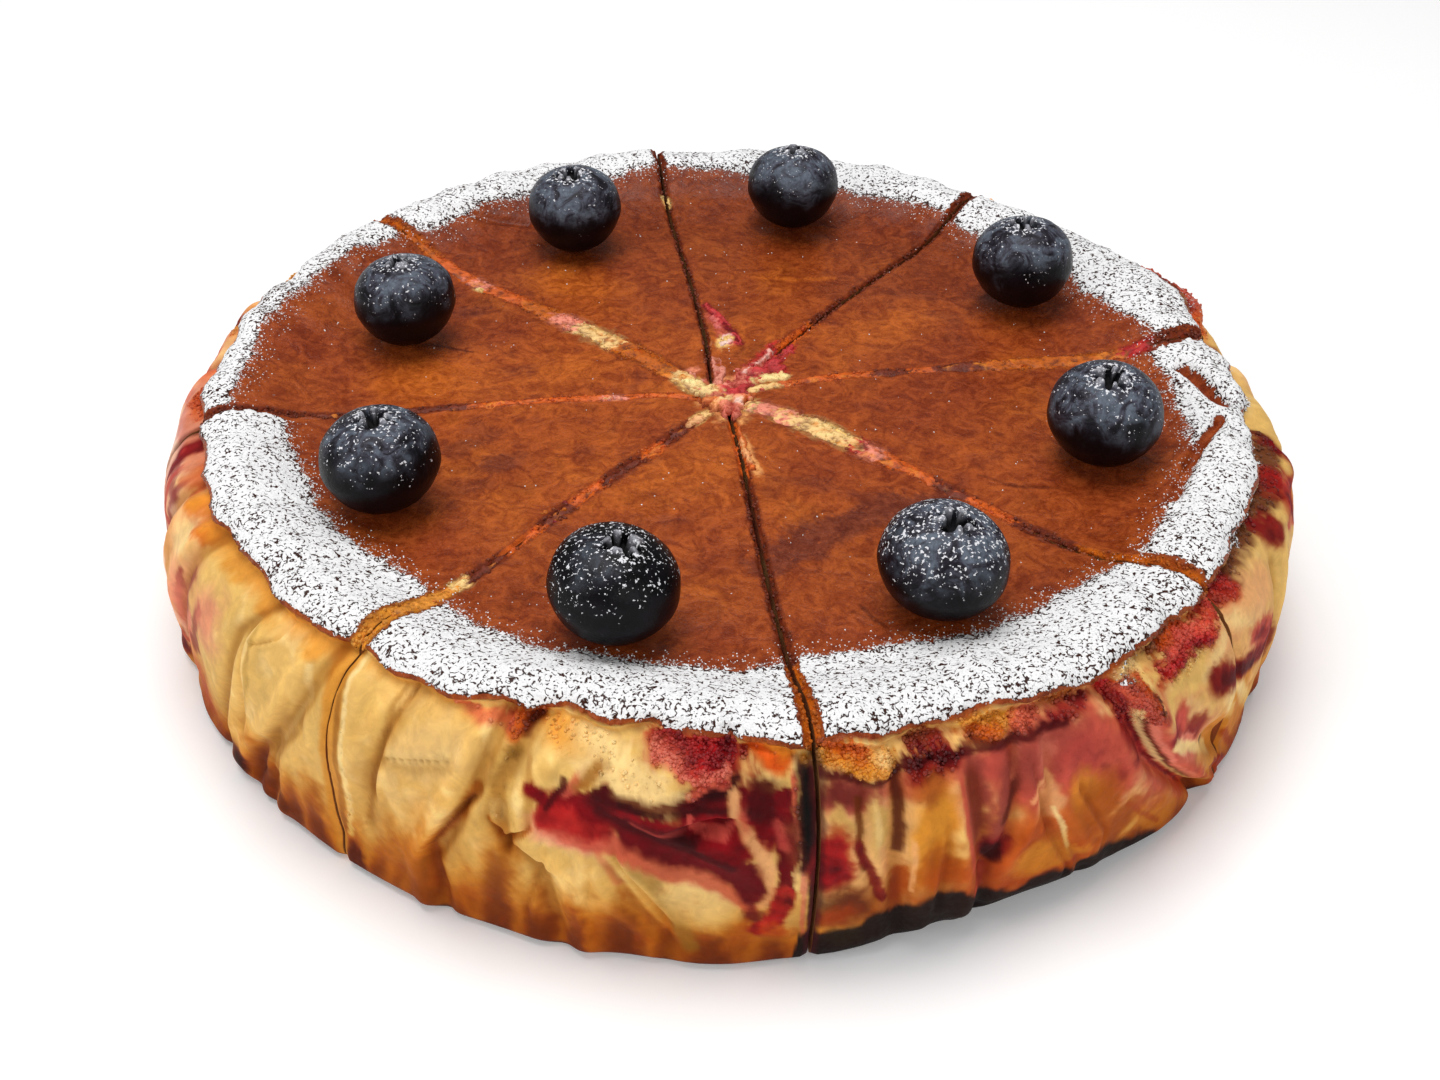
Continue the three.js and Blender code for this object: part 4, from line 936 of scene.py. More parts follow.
def build_slice(number, low, high, step):
    low_toward = low["toward"] if number < 8 else low["toward"] - 360
    kinds = np.concatenate([np.full(len(part), k) for k, part in
                            enumerate((TOP_ROWS, RIM_ROWS, WALL_ROWS, BASE_ROWS))])
    values = np.concatenate([TOP_ROWS, RIM_ROWS, WALL_ROWS, BASE_ROWS])
    rows = (kinds, values)
    a, a_fall, a_pull = cut_side(rows, low, low_toward, 1, FIELD[0])
    b, b_fall, b_pull = cut_side(rows, high, high["toward"], -1, FIELD[1])
    middle = int((high["toward"] - low_toward) / step)
    spread = np.linspace(0, 1, middle + 1)[None, 1:-1]
    sound = a[:, -1:] + (b[:, -1:] - a[:, -1:]) * spread
    zero = np.zeros_like(sound)
    directions = np.concatenate([a, sound, b[:, ::-1]], 1)
    fall = np.concatenate([a_fall, zero, b_fall[:, ::-1]], 1)
    pull = np.concatenate([a_pull, zero, b_pull[:, ::-1]], 1)
    groove = np.concatenate([1 - GROOVE_SHARES + 0 * a, zero, 1 - GROOVE_SHARES[::-1] + 0 * b], 1)
    x, y, z, _, azimuth = outline(rows, directions)
    x = x - pull * (x - CROSSING[0])
    y = y - pull * (y - CROSSING[1])
    z = z - fall
    return Skin(x, y, z, azimuth, groove, kinds[:, None] + 0 * z, values[:, None] + 0 * z), directions.shape


class Skin:
    """The points of one slice's skin, with the noise, paint and crumb that its finishes share."""

    def __init__(self, *values):
        values = [np.asarray(v, float).ravel() for v in values]
        self.x, self.y, self.z, self.azimuth, self.groove, kind, self.value = values
        self.r = np.hypot(self.x, self.y)
        self.at = np.stack([self.x, self.y, self.z], 1)
        on_top, self.on_rim, self.on_wall, self.on_base = [kind == k for k in (TOP, RIM, WALL, BASE)]
        self.upper = on_top | self.on_rim
        self.rim_share = np.where(self.on_rim, self.value, 0)
        self.big, self.mid = FIELD[2](self.at, 11, 3), FIELD[3](self.at, 4, 3)
        self.fine, self.tiny = FIELD[4](self.at, 1.6, 3), FIELD[5](self.at, 0.7, 2)
        self.paint = np.tile(TONES["crust"], (len(self.x), 1))
        self.crumb = np.zeros(len(self.x))

    def lay(self, tone, share, where=slice(None)):
        self.paint[where] = blend(self.paint[where], TONES[tone], share)

    def lay_places(self, layers, where, masks):
        """Paints places over each other, and keeps how crumbly each is."""
        for layer, mask in zip(layers, masks):
            self.lay(layer["tone"], mask, where)
            self.crumb[where] = np.maximum(self.crumb[where], layer["rough"] * mask)


def spilt(azimuth):
    """1 where the sugar runs over the lip, at the right."""
    return smooth(-31, -27, azimuth) * smooth(12, 6, azimuth)


def sugar_cover(s):
    """The sugar's border, its cover and the bare edge of the lip. It is dense to the lip and thin inside."""
    border = np.interp(turn_from(s.azimuth, 0), *zip(*SUGAR_FROM)) + 0.9 * s.mid + 0.7 * s.fine
    outer = smooth(0.62, 0.9, s.rim_share)
    cover = smooth(-2.6, 2.2, s.r - border) * (0.82 - 0.04 * outer + 0.09 * FIELD[6](s.at, 6, 3))
    dust = 0.17 * np.exp(-np.maximum(0, border - s.r) / 4.5) * (1 + 0.6 * s.mid)
    cover = np.maximum(cover, np.where(s.r < border, dust, 0))
    for start, end, width, _ in SUGARED_BREAKS:
        cover = cover * smooth(0.35, 0.8, from_path([start, end], s.x, s.y) / width + 0.25 * s.fine)
    edge = smooth(0.988, 0.999, s.rim_share + 0.008 * s.fine + 0.008 * s.mid) * s.on_rim
    cover = np.where(s.upper, cover, 0) * (1 - edge)
    ledge = bell(turn_from(s.azimuth, 27) / 10) * smooth(33.5, 36, s.z)
    over = spilt(s.azimuth) * smooth(36.6, 37.6, s.z + 0.6 * s.mid)
    flap = bell(turn_from(s.azimuth, -50.2) / 1.9) * smooth(36.0, 37.2, s.z + 0.4 * s.fine)
    lying = np.maximum(0.36 * ledge, 0.85 * np.maximum(over, flap)) * s.on_wall
    return border, np.maximum(cover, lying), edge * (1 - spilt(s.azimuth))


def paint_top(s):
    s.lay("light crust", 0.6 * smooth(0.1, 0.9, s.big + 0.4 * s.mid) * s.upper)
    s.lay("red crust", 0.7 * smooth(0.0, 0.8, -s.big - 0.3 * s.mid) * s.upper)
    s.lay("purple crust", 0.45 * smooth(0.5, 1.1, -s.mid + 0.6 * FIELD[7](s.at, 9, 2)) * s.upper)
    s.lay("red crust", 0.55 * smooth(52, 72, s.r + 4 * s.mid) * s.upper)
    s.lay("dark crust", 0.35 * smooth(0.35, 1.0, s.mid) * s.upper)
    # darker towards the back
    s.lay("dark crust", 0.4 * smooth(15, 62, s.y + 3 * s.mid) * s.upper)
    top = np.where(s.upper)[0]
    x, y, tiny = s.x[top], s.y[top], s.tiny[top]
    warp_x = 0.5 * s.fine[top] + 1.0 * s.mid[top]
    warp_y = 0.5 * tiny + 1.0 * FIELD[7](s.at[top], 4, 3)
    masks = []
    for layer in TOP_PAINT:
        k = 0.35 if narrowest(layer) < 3 else 1.6
        masks.append(reach(layer, x + k * warp_x, y + k * warp_y, 1, 0.8 * tiny))
    s.lay_places(TOP_PAINT, top, masks)


def paint_wall(s):
    wall = np.where(s.on_wall | s.on_base)[0]
    azimuth, z, at = s.azimuth[wall], s.z[wall], s.at[wall]
    mid, fine, tiny = s.mid[wall], s.fine[wall], s.tiny[wall]
    tall = FIELD[6](at * np.array([1, 1, 0.45]), 5, 3)
    arc = azimuth * WALL_DEGREE
    streak = FIELD[1](np.stack([arc * 0.9, arc * 0.1, z * 0.12], 1), 1.2, 3, 0.6)

    def lay(tone, share):
        s.lay(tone, share, wall)

    # cream that browns towards the base: baked browning, deepened as painted warm light from below
    s.paint[wall] = TONES["cream"]
    lay("light", 0.5 * smooth(0.1, 0.8, mid + 0.3 * tall))
    lay("straw", 0.75 * smooth(0.0, 0.9, tall + 0.2 * streak))
    lay("honey", 0.8 * smooth(16, 6, z + 7 * tall + 0.8 * streak))
    lay("amber", 0.8 * smooth(9, 3, z + 5 * tall + 0.6 * streak))
    lay("brown", 0.6 * smooth(6, 2.2, z + 3 * tall + 0.5 * streak))

    # fruit, browned tongues and crumbs: small places have ragged edges and large ones soft ones
    layers = [one for place in TONGUES for one in tongue(*place)] + WALL_PAINT + back_paint()
    warp_a = (0.7 * mid + 0.45 * fine) / WALL_DEGREE
    warp_z = 0.7 * FIELD[7](at, 3, 3) + 0.4 * tiny
    grainy = 0.45 * tiny + 0.4 * fine + 0.25 * FIELD[7](at, 1.1, 2)
    soft = 0.55 * mid + 0.5 * FIELD[7](at, 2.6, 2)
    masks = []
    for layer in layers:
        k = 0.35 if narrowest(layer) < 1.5 else 1.0
        calm = 0 if layer["rough"] > 0.5 else 0.8 * smooth(0.7, 2.6, narrowest(layer))
        noise = grainy + (soft - grainy) * calm
        masks.append(reach(layer, azimuth + k * warp_a, z + k * warp_z, WALL_DEGREE, noise))
    s.lay_places(layers, wall, masks)

    # pulp in the fruit, and amber flecks elsewhere
    red = smooth(0.08, 0.3, s.paint[wall, 0] - 3.2 * s.paint[wall, 1])
    pulp = 0.6 * mid + 0.7 * FIELD[7](at, 2.2, 3, 0.6) + 0.3 * fine
    s.paint[wall] *= 1 + 0.5 * (red * pulp)[:, None] * np.array([0.8, 1.2, 1.0])
    lay("wine", 0.55 * red * smooth(0.35, 1.0, -pulp))
    lay("salmon", 0.3 * red * smooth(0.5, 1.1, pulp))
    lay("amber", 0.3 * (1 - red) * smooth(0.3, 0.9, FIELD[7](at, 1.8, 3, 0.6)) * smooth(26, 10, z))
    # saturated tones deepened, as painted warm light in place of the warm bounce from below
    strong = smooth(0.5, 0.25, s.paint[wall, 1] / (s.paint[wall, 0] + 0.01))[:, None]
    s.paint[wall] **= 1 + 0.28 * strong

    # painted shade in the folds and painted highlight on their ridges
    painted_fold_shade, ridge_highlight = np.zeros(len(z)), np.zeros(len(z))
    for one in FOLDS + back_folds() + SMALL_FOLDS:
        if one["depth"] <= DEEPEST_SHADED:
            height = fold_height(one, azimuth, z)
            painted_fold_shade = painted_fold_shade + np.maximum(0, -height - 0.1)
            ridge_highlight = ridge_highlight + np.maximum(0, height)
    painted_shade = 1 - 0.42 * smooth(0.1, 1.2, painted_fold_shade * (1 + 0.3 * mid)) * smooth(1, 6, z)
    s.paint[wall] *= painted_shade[:, None] ** np.array([0.8, 1.2, 1.9])
    s.paint[wall] *= (1 + 0.16 * smooth(0.1, 0.7, ridge_highlight))[:, None]
    s.paint[wall] *= (1 + 0.035 * streak + 0.07 * fine + 0.05 * mid)[:, None]

    # painted warm shade towards the base; the burnt underside, painted near black partly as shadow in its
    # hollow; and darker along the foot
    shade = smooth(24, 0, z + 2 * tall)[:, None] * np.array([0.26, 0.46, 0.86])
    s.paint[wall] *= 1 - shade
    burnt = through(BURNT_AND_SHADOW_HEIGHTS, azimuth)
    burnt_and_shadowed = smooth(1.0, -0.8, z - burnt + 0.4 * streak + 0.5 * mid + 0.3 * fine)
    lay("burnt", 0.97 * burnt_and_shadowed * (burnt > 0.2))
    lay("burnt", 0.7 * smooth(1.6, 0.3, z + 0.5 * fine))
    s.paint[s.on_base] = TONES["brown"]


def paint_lip(s, edge):
    """A thin broken line of bare crust along the lip."""
    below = smooth(0.03, 0.01, s.value + 0.01 * s.fine + 0.014 * s.mid) * s.on_wall
    share = 0.5 * np.clip(edge + below, 0, 1) * smooth(-0.5, 0.4, FIELD[7](s.at, 3, 2))
    s.lay("tan", share * (1 - smooth(0.2, 0.6, s.crumb)))


def crumb_in_cuts(s, cuts):
    """Paints the crumb in the torn edges of two cuts, and says where it lies."""
    band = np.zeros(len(s.x))
    distance, direction = from_crossing(s.x, s.y)
    for one in cuts:
        turn = turn_from(direction, one["toward"])
        off = np.abs(distance * np.sin(np.radians(turn)) - sway(one, distance))
        shut = along(one, "shut", distance)
        width = along(one, "groove", distance) * (1.5 + 0.1 * shut) + KNIFE * shut
        near = off / width + 0.3 * s.fine + 0.18 * s.mid + 0.15 * s.tiny
        colours = crumb_tones(one, distance + 1.2 * s.fine + 1.0 * s.tiny)
        colours = colours * (1 + 0.22 * s.tiny + 0.2 * s.fine)[:, None]
        pore = smooth(0.35, 0.75, s.tiny + 0.5 * s.fine)
        colours = blend(colours, colours * TONES["amber"], 0.6 * pore)
        rim_line = smooth(0.62, 0.9, near) * smooth(1.3, 1.05, near)
        colours = blend(colours, TONES["rust"], 0.7 * rim_line)
        mask = np.maximum(smooth(1.15, 0.8, near) * (np.abs(turn) < CUT_SIDE), 0.55 * rim_line) * s.upper
        s.paint = blend(s.paint, colours, mask)
        s.crumb = np.maximum(s.crumb, 0.8 * mask)
        band = np.maximum(band, mask)
        # painted shade along the cut where it meets the wall
        if one["seam_shade"]:
            s.lay(one["seam_shade"], 0.75 * smooth(1.5, 0.5, off + 0.3 * s.fine) * s.on_wall)
    return band


def fine_relief(s, cover):
    """Moves the points by small folds, the torn lip, crumbs and the sugar's thickness."""
    out_x, out_y = s.x / np.maximum(s.r, 1), s.y / np.maximum(s.r, 1)
    rise = 0.22 * s.big * s.upper * smooth(4, 12, s.r) + cover * (0.28 + 0.16 * s.fine) * s.upper
    rise = rise + s.crumb * (0.34 * s.fine + 0.3 * s.tiny) * s.upper
    rise = rise * smooth(1.0, 0.6, s.groove)
    ragged = 0.4 * FIELD[6](s.at, 2.4, 2) + 0.25 * s.tiny
    more = 1 + change_at(TORN_LIP, s.azimuth)
    height = (1 - s.value) * LIP_LEVEL
    drop = LIP_LEVEL - height
    under = -0.75 * bell((drop - 1.5) / 0.9) + 0.35 * ragged * more * smooth(6, 0, drop)
    push = smooth(0.86, 1.0, s.rim_share) * ragged * more * 0.8 + s.on_wall * under
    # on the wall, small folds and crumbs stand square to it
    small = sum(fold_height(one, s.azimuth, s.z) for one in SMALL_FOLDS)
    knobs = np.abs(FIELD[7](s.at, 1.7, 3, 0.6))
    strength = smooth(0, 3, s.z) * s.on_wall
    out = strength * (0.12 * s.mid + small + 0.05 * s.fine)
    crumbly = smooth(0.1, 0.8, s.crumb) * smooth(0, 1.5, drop)
    out = out + strength * crumbly * (0.5 * s.fine + 0.4 * s.tiny + 0.7 * knobs - 0.15)
    lower, upper = np.clip(height - 0.4, 0, LIP_LEVEL), np.clip(height + 0.4, 0.1, LIP_LEVEL)
    steep = (wall_surface(s.azimuth, lower) - wall_surface(s.azimuth, upper)) / (upper - lower)
    steep = np.clip(steep, 0, 3)
    square = 1 / np.hypot(1, steep)
    push = push + out * square + BASE_FULLER * smooth(7, 0, s.z) * s.on_wall
    return np.stack([s.x + out_x * push, s.y + out_y * push, s.z + rise + out * square * steep], 1)


def dress_slice(s, cuts):
    """Paints a slice's skin and moves its points. Also gives what it lends to the strewn crumbs and grains."""
    border, cover, edge = sugar_cover(s)
    paint_top(s)
    paint_wall(s)
    paint_lip(s, edge)
    cover = cover * (1 - crumb_in_cuts(s, cuts))
    points = fine_relief(s, cover)
    crumbs = np.clip(s.crumb - 0.45, 0, 1) * 1.8 * np.where(s.upper, 0.5 * smooth(8, 14, s.r), 1.0)
    near = smooth(5, 0.3, border - s.r) * smooth(-3.5, -0.5, border - s.r) * s.upper
    grains = near * (1 + 0.5 * s.fine) + 0.03 * s.upper * smooth(0, 0.5, s.mid)
    values = dict(
        paint=np.clip(s.paint, 0, 1),
        sugar=0.68 - 0.44 * cover + 0.4 * smooth(0.05, 0.0, cover),  # the noise that sugar shows above
        gloss=np.where(s.upper, 1 - smooth(0.1, 0.5, s.crumb), 0.0),
        crumb=s.crumb,
        wall=np.where(s.upper, 0.0, 1.0),
    )
    return points, values, crumbs, grains


def add_point_values(mesh, **values):
    for name, numbers in values.items():
        kind, field = "FLOAT", "value"
        if numbers.ndim == 2:
            kind, field = "FLOAT_COLOR", "color"
            numbers = np.concatenate([numbers, np.ones((len(numbers), 1))], 1)
        layer = mesh.attributes.new(name, kind, "POINT")
        layer.data.foreach_set(field, numbers.astype(np.float32).ravel())


def add_object(name, data):
    thing = bpy.data.objects.new(name, data)
    bpy.context.scene.collection.objects.link(thing)
    return thing


def mesh_from(name, points, faces):
    """A mesh from points in millimetres seen from the pole."""
    mesh = bpy.data.meshes.new(name)
    mesh.from_pydata(((points - np.array([*MIDDLE, 0])) * MM).tolist(), [], faces)
    return mesh


def new_piece(name, points, faces, materials, node=None):
    mesh = mesh_from(name, points, faces)
    for material in materials:
        mesh.materials.append(material)
    mesh.polygons.foreach_set("use_smooth", [True] * len(mesh.polygons))
    mesh.update()
    piece = add_object(name, mesh)
    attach(piece, "root")
    if node:
        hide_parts(node)
    return piece


STREWN = []  # what each slice's skin lends to the loose crumbs and grains


def slice_piece(number, low, high, materials):
    step = COLUMN_STEP["front" if number in FRONT_SLICES else "back"]
    skin, (rows, columns) = build_slice(number, low, high, step)
    points, values, crumbs, grains = dress_slice(skin, (low, high))
    index = np.arange(rows * columns).reshape(rows, columns)
    below = np.roll(index, -1, 0)
    quads = np.stack([index[:, :-1], below[:, :-1], below[:, 1:], index[:, 1:]], -1).reshape(-1, 4)
    upper_rows = len(TOP_ROWS) + len(RIM_ROWS)
    skin_rows = upper_rows + len(WALL_ROWS)
    seen = quads[:(skin_rows - 1) * (columns - 1)]
    STREWN.append(dict(points=points, quads=seen, paint=values["paint"], crumbs=crumbs, grains=grains))
    faces = quads.tolist()
    skinned = len(faces)
    r = np.hypot(points[:, 0] - CROSSING[0], points[:, 1] - CROSSING[1])
    for column, flip in ((0, False), (columns - 1, True)):
        upper = index[:skin_rows, column].tolist()
        lower = index[skin_rows - 1:, column].tolist()[::-1]
        for a, b, c in fill_side(r, upper_rows, upper, lower):
            faces.append((a, c, b) if flip else (a, b, c))
    piece = new_piece(f"cake_slice_{number}", points, faces, materials, f"slice_{number}")
    add_point_values(piece.data, **values)
    # the cut faces are flat and of plain crumb
    cut_face = np.arange(len(faces)) >= skinned
    piece.data.polygons.foreach_set("use_smooth", (~cut_face).tolist())
    piece.data.polygons.foreach_set("material_index", cut_face.astype(int).tolist())


# ---------------------------------------------------------------- berries
BERRY_PROFILE = [  # from the underside to the middle of the crown: radius, height
    (0, -0.86), (0.36, -0.79), (0.66, -0.61), (0.88, -0.33), (0.995, 0.0), (0.95, 0.34), (0.79, 0.6),
    (0.6, 0.745), (0.47, 0.8), (0.4, 0.822), (0.34, 0.835), (0.29, 0.842), (0.24, 0.84), (0.19, 0.83),
    (0.14, 0.815), (0.09, 0.8), (0.05, 0.795), (0, 0.79),
]
BERRY_RINGS = 84
BERRY_SIDES = 110
BERRY_CLEARANCE = 0.3
# heights where the pale bloom starts, which is also painted light on each berry's upper side
BERRY_BLOOM_AND_LIGHT = (0.0, 0.05, -0.05, 0.0, 0.65, 0.25, 0.05, 0.0)
BERRY_SUGAR = (0.25, 0.35, 0.5, 1.0, 0.8, 0.6, 0.45, 0.35)
CROWN_ARMS = 5


def berry_piece(number, material):
    azimuth, out, radius, lean = BERRIES[number - 1]
    steps = np.linspace(0, len(BERRY_PROFILE) - 1, BERRY_RINGS)
    ring_r, ring_z = [curve([(i, p[k]) for i, p in enumerate(BERRY_PROFILE)], steps) for k in range(2)]
    turn = np.linspace(0, 2 * math.pi, BERRY_SIDES, endpoint=False)
    tt, rr = np.meshgrid(turn, ring_r[1:-1])
    zz = ring_z[1:-1, None] + 0 * tt
    # a five-armed hole with pointed leaves standing between its arms
    bent = tt + 0.16 * np.sin(2 * tt + number) + 0.12 * np.sin(3 * tt + 2.1 * number)
    arm = (0.5 + 0.5 * np.cos(CROWN_ARMS * bent)) * (1 + 0.25 * np.sin(tt + 1.7 * number))
    hole = smooth(0.03, -0.04, rr - (0.15 + 0.15 * arm**1.3)) * (zz > 0.5)
    leaf_end = 0.3 + 0.06 * np.sin(4 * tt + 1.3 * number)
    leaf = smooth(0.6, 0.15, arm + 1.2 * np.maximum(0, rr - 0.24) * 3) * smooth(0.06, 0.14, rr)
    leaf = leaf * smooth(leaf_end + 0.05, leaf_end - 0.03, rr) * (zz > 0.5)
    uneven = 1 + 0.014 * np.sin(2 * tt + number) + 0.01 * np.sin(3 * tt + 2.3 * number)
    r = rr * np.where(zz > 0.7, 1, uneven)
    z = zz + 0.075 * leaf * smooth(0.36, 0.2, rr) - 0.17 * hole
    unit = np.stack([r * np.cos(tt), r * np.sin(tt), z], -1).reshape(-1, 3)
    unit = np.concatenate([[[0, 0, ring_z[0]]], unit, [[0, 0, ring_z[-1] - 0.17]]])
    hole = np.concatenate([[0], hole.ravel(), [1]])
    leaf = np.concatenate([[0], leaf.ravel(), [0]])
    seed = unit * radius + 50 * number
    skin_noise = FIELD[2](seed, 5, 3)
    unit = unit * (1 + 0.006 * skin_noise + 0.003 * FIELD[3](seed, 1.5, 2))[:, None]
    spin = np.array(Euler((math.radians(lean[0]), math.radians(lean[1]), number)).to_matrix())
    points = unit @ spin.T * radius
    middle = np.array([out * math.cos(math.radians(azimuth)), out * math.sin(math.radians(azimuth)), 0])
    places = points + middle
    under = crust_height(places[:, 0], places[:, 1])
    low = points[:, 2] < 0
    places[:, 2] += np.max((under + BERRY_CLEARANCE - points[:, 2])[low])
    faces = []
    rings, sides = BERRY_RINGS - 2, BERRY_SIDES
    last = len(points) - 1
    for i in range(sides):
        j = (i + 1) % sides
        faces.append((0, 1 + j, 1 + i))
        faces.append((last, last - sides + i, last - sides + j))
        for k in range(rings - 1):
            a = 1 + k * sides
            faces.append((a + i, a + j, a + sides + j, a + sides + i))
    piece = new_piece(f"berry_fruit_{number}", places, faces, [material], f"berry_{number}")
    # the pale bloom is painted on the upper side, where it also stands in for light from above, and sugar on
    # the crown's leaves and round them
    up = points[:, 2] / radius
    start = BERRY_BLOOM_AND_LIGHT[number - 1]
    bloom = smooth(start, start + 0.75, up + 0.35 * skin_noise + 0.2 * FIELD[4](seed, 2.2, 3))
    cover = BERRY_SUGAR[number - 1] * smooth(-0.1, 0.7, up + 0.35 * FIELD[5](seed, 3.5, 2)) * 0.5
    crown = smooth(0.55, 0.4, np.hypot(unit[:, 0], unit[:, 1])) * (up > 0.3)
    cover = np.maximum(cover, 0.6 * crown)
    add_point_values(piece.data, bloom=np.clip(bloom, 0, 1), sugar=cover * (1 - hole), hole=hole, leaf=leaf)


def crust_height(x, y):
    azimuth = np.degrees(np.arctan2(y, x))
    azimuth = np.where(azimuth > CUTS[0]["toward"], azimuth - 360, azimuth)
    r = np.hypot(x, y)
    share = (r - FLAT_RADIUS) / (lip_radius(azimuth) - FLAT_RADIUS)
    return np.where(share > 0, rim_height(azimuth, r, np.clip(share, 0, 1)), TOP_LEVEL)


# ---------------------------------------------------------------- crumbs
MOUND_RINGS = (0.0, 0.2, 0.42, 0.62, 0.8, 0.92, 1.0)
MOUND_SIDES = 22
MOUND_SINK = 0.5
BAND_STEP = 0.42  # along a cut
BAND_REACH = (4, 84)  # from the crossing
SHORTEST_BAND = 8  # steps
BAND_SHARES = np.linspace(-1, 1, 15)
BAND_WIDEN = 1.6
BAND_FROM = 0.3  # the least closing that shows as a band of crumbs
MASH_STEP = 0.26
MASH_SHOWN = -0.6  # how far under the crust its sheet is cut off
MASH_BOX = ((-13, 17), (-25, 37))
MASH = [  # what lies crumbled round the crossing, in millimetres from the pole
    oval("orange", 0.6, 1.6, 4.0, 5.0, 0, 1, 0.2, 0.45),
    oval("rose", 1.0, 2.6, 2.6, 3.6, 0, 1, 0.3),
    oval("peach", 0.8, -0.8, 2.8, 2.4, 0, 0.8, 0.4, 0.6),
    stroke("red", 2.2, (1.6, 3.6), (5.6, 10), (10.4, 17.6), strength=1, soft=0.2),
    stroke("salmon", 0.9, (1.4, 5), (4.6, 10.6), (8.4, 16), ragged=0.7),
    stroke("red", 0.8, (5, 7.6), (8.8, 13), (12.2, 19), soft=0.3, ragged=0.6),
    stroke("blush", 0.35, (3.4, 9), (6.6, 14), (9.6, 18), strength=0.6, ragged=0.9),
    oval("red", 9.8, 11.2, 1.3, 1.9, 20, 1, 0.25),
    stroke("pale", 1, (5.6, 6.9), (8.4, 8), (11.2, 8.4), strength=1, soft=0.3),
    oval("pale", -4.4, 4.4, 4.4, 2.1, -38, 1, 0.25),
    oval("light", -6.4, 5.2, 1.8, 1, -38, 0.8, 0.4, 0.6),
    oval("pink", -2.4, 6.4, 3.4, 0.8, -30, 0.9, 0.3, 0.6),
    stroke("pink", 1.2, (-1.2, 6), (-1.4, 10.6), (-1.9, 14.6), soft=0.3),
    stroke("tan", 0.6, (-1.6, 13), (-2.4, 19), (-3, 24), strength=0.7, soft=0.3),
    stroke("rose", 1.4, (-2.6, 29), (-0.9, 25), (0.4, 20.4), strength=1, soft=0.25),
    stroke("red", 0.8, (-4.2, 34), (-1.4, 29), (1.4, 23.6), (2.8, 19.8), strength=1, soft=0.25),
    oval("blush", -0.3, 20.6, 1.4, 2.4, -15, 0.9, 0.3),
    oval("salmon", 1.2, -2.6, 2, 2.6, 0, 0.9, 0.3),
    oval("pale", 0.2, 0.6, 1.2, 0.8, 30, 0.7, 0.4, 0.6),
    oval("red", -1.8, 1.6, 1, 0.8, 0, 0.8, 0.4, 0.6),
    oval("blush", 2.6, -0.4, 1.3, 0.8, -40, 0.8, 0.4, 0.6),
    stroke("orange", 0.7, (2.6, -9), (3.6, -14), (5.2, -21), strength=1, soft=0.3, ragged=0.6),
    stroke("peach", 0.5, (2.8, -12), (3.9, -16), (4.8, -19), soft=0.3, ragged=0.6),
    oval("peach", -5, -6.4, 2.3, 1.2, 50, 1, 0.25),
]
TOP_HEAPS = [  # tones, x, y, spread across and along, count, size, height; places in millimetres from the pole
    (("peach", "orange", "salmon"), 0.6, 1.5, (3.6, 4.0), 8, 0.7, 0.25),
    (("red", "salmon"), 5.4, 9.4, (2.4, 3.8), 14, 0.9, 0.3),
    (("pale", "pink"), -3.8, 4.0, (2.6, 1.8), 6, 0.9, 0.3),
    (("peach", "pink"), -20.2, -0.2, (1.6, 0.3), 5, 0.8, 0.35),
    (("pale", "cream"), -48.7, 37.3, (1.2, 0.6), 5, 0.9, 0.35),
    (("rust", "crimson", "amber"), -27, -37, (4.0, 5.0), 8, 0.7, 0.3),
]


class Heap:
    """Gathers crumbs into one mesh."""

    def __init__(self, seed):
        self.draw = np.random.default_rng(seed)
        self.points, self.faces, self.paint, self.count = [], [], [], 0

    def add(self, points, faces, paint):
        self.points.append(points)
        self.faces.extend([tuple(self.count + k for k in face) for face in faces])
        self.paint.append(paint)
        self.count += len(points)

    def mound(self, x, y, size, height, tones):
        """A rough low lump on the crust."""
        draw = self.draw
        rho = np.repeat(MOUND_RINGS[1:], MOUND_SIDES)
        angle = np.tile(np.linspace(0, 2 * math.pi, MOUND_SIDES, endpoint=False), len(MOUND_RINGS) - 1)
        shift = draw.uniform(0, 200, 3)
        ring = np.stack([np.cos(angle), np.sin(angle), 0 * angle], 1)
        edge = 1 + 0.42 * FIELD[3](ring * 1.2 + shift, 1.0, 3, 0.7)
        lean, slim = draw.uniform(0, math.pi), draw.uniform(0.55, 0.95)
        a, b = size * rho * edge * np.cos(angle), size * rho * edge * np.sin(angle) * slim
        across = np.append(0, a * math.cos(lean) - b * math.sin(lean))
        along_it = np.append(0, a * math.sin(lean) + b * math.cos(lean))
        rho = np.append(0, rho)
        across, along_it = x + across, y + along_it
        places = np.stack([across, along_it, crust_height(across, along_it)], 1)
        noise = FIELD[4](places + shift, 0.9, 3, 0.6)
        lift = height * np.sqrt(np.maximum(0, 1 - rho**2)) * (1 + 0.5 * noise)
        lift = lift - MOUND_SINK * smooth(0.75, 1.0, rho)
        points = places + lift[:, None] * [0, 0, 1]
        bottom = places[0] - [0, 0, 2 * MOUND_SINK]
        sides, last = MOUND_SIDES, len(points)
        faces = []
        for i in range(sides):
            j = (i + 1) % sides
            faces.append((0, 1 + i, 1 + j))
            for k in range(len(MOUND_RINGS) - 2):
                c = 1 + k * sides
                faces.append((c + i, c + sides + i, c + sides + j, c + j))
            faces.append((last, last - sides + j, last - sides + i))
        tone = TONES[tones[int(draw.integers(len(tones)))]] * draw.uniform(0.85, 1.1)
        other = TONES[tones[int(draw.integers(len(tones)))]]
        share = smooth(-0.3, 0.5, FIELD[5](places + shift, 1.4, 2))[:, None]
        paint = (tone + (other - tone) * share) * (1 + 0.28 * noise)[:, None]
        self.add(np.concatenate([points, [bottom]]), faces, np.concatenate([paint, paint[:1]]))


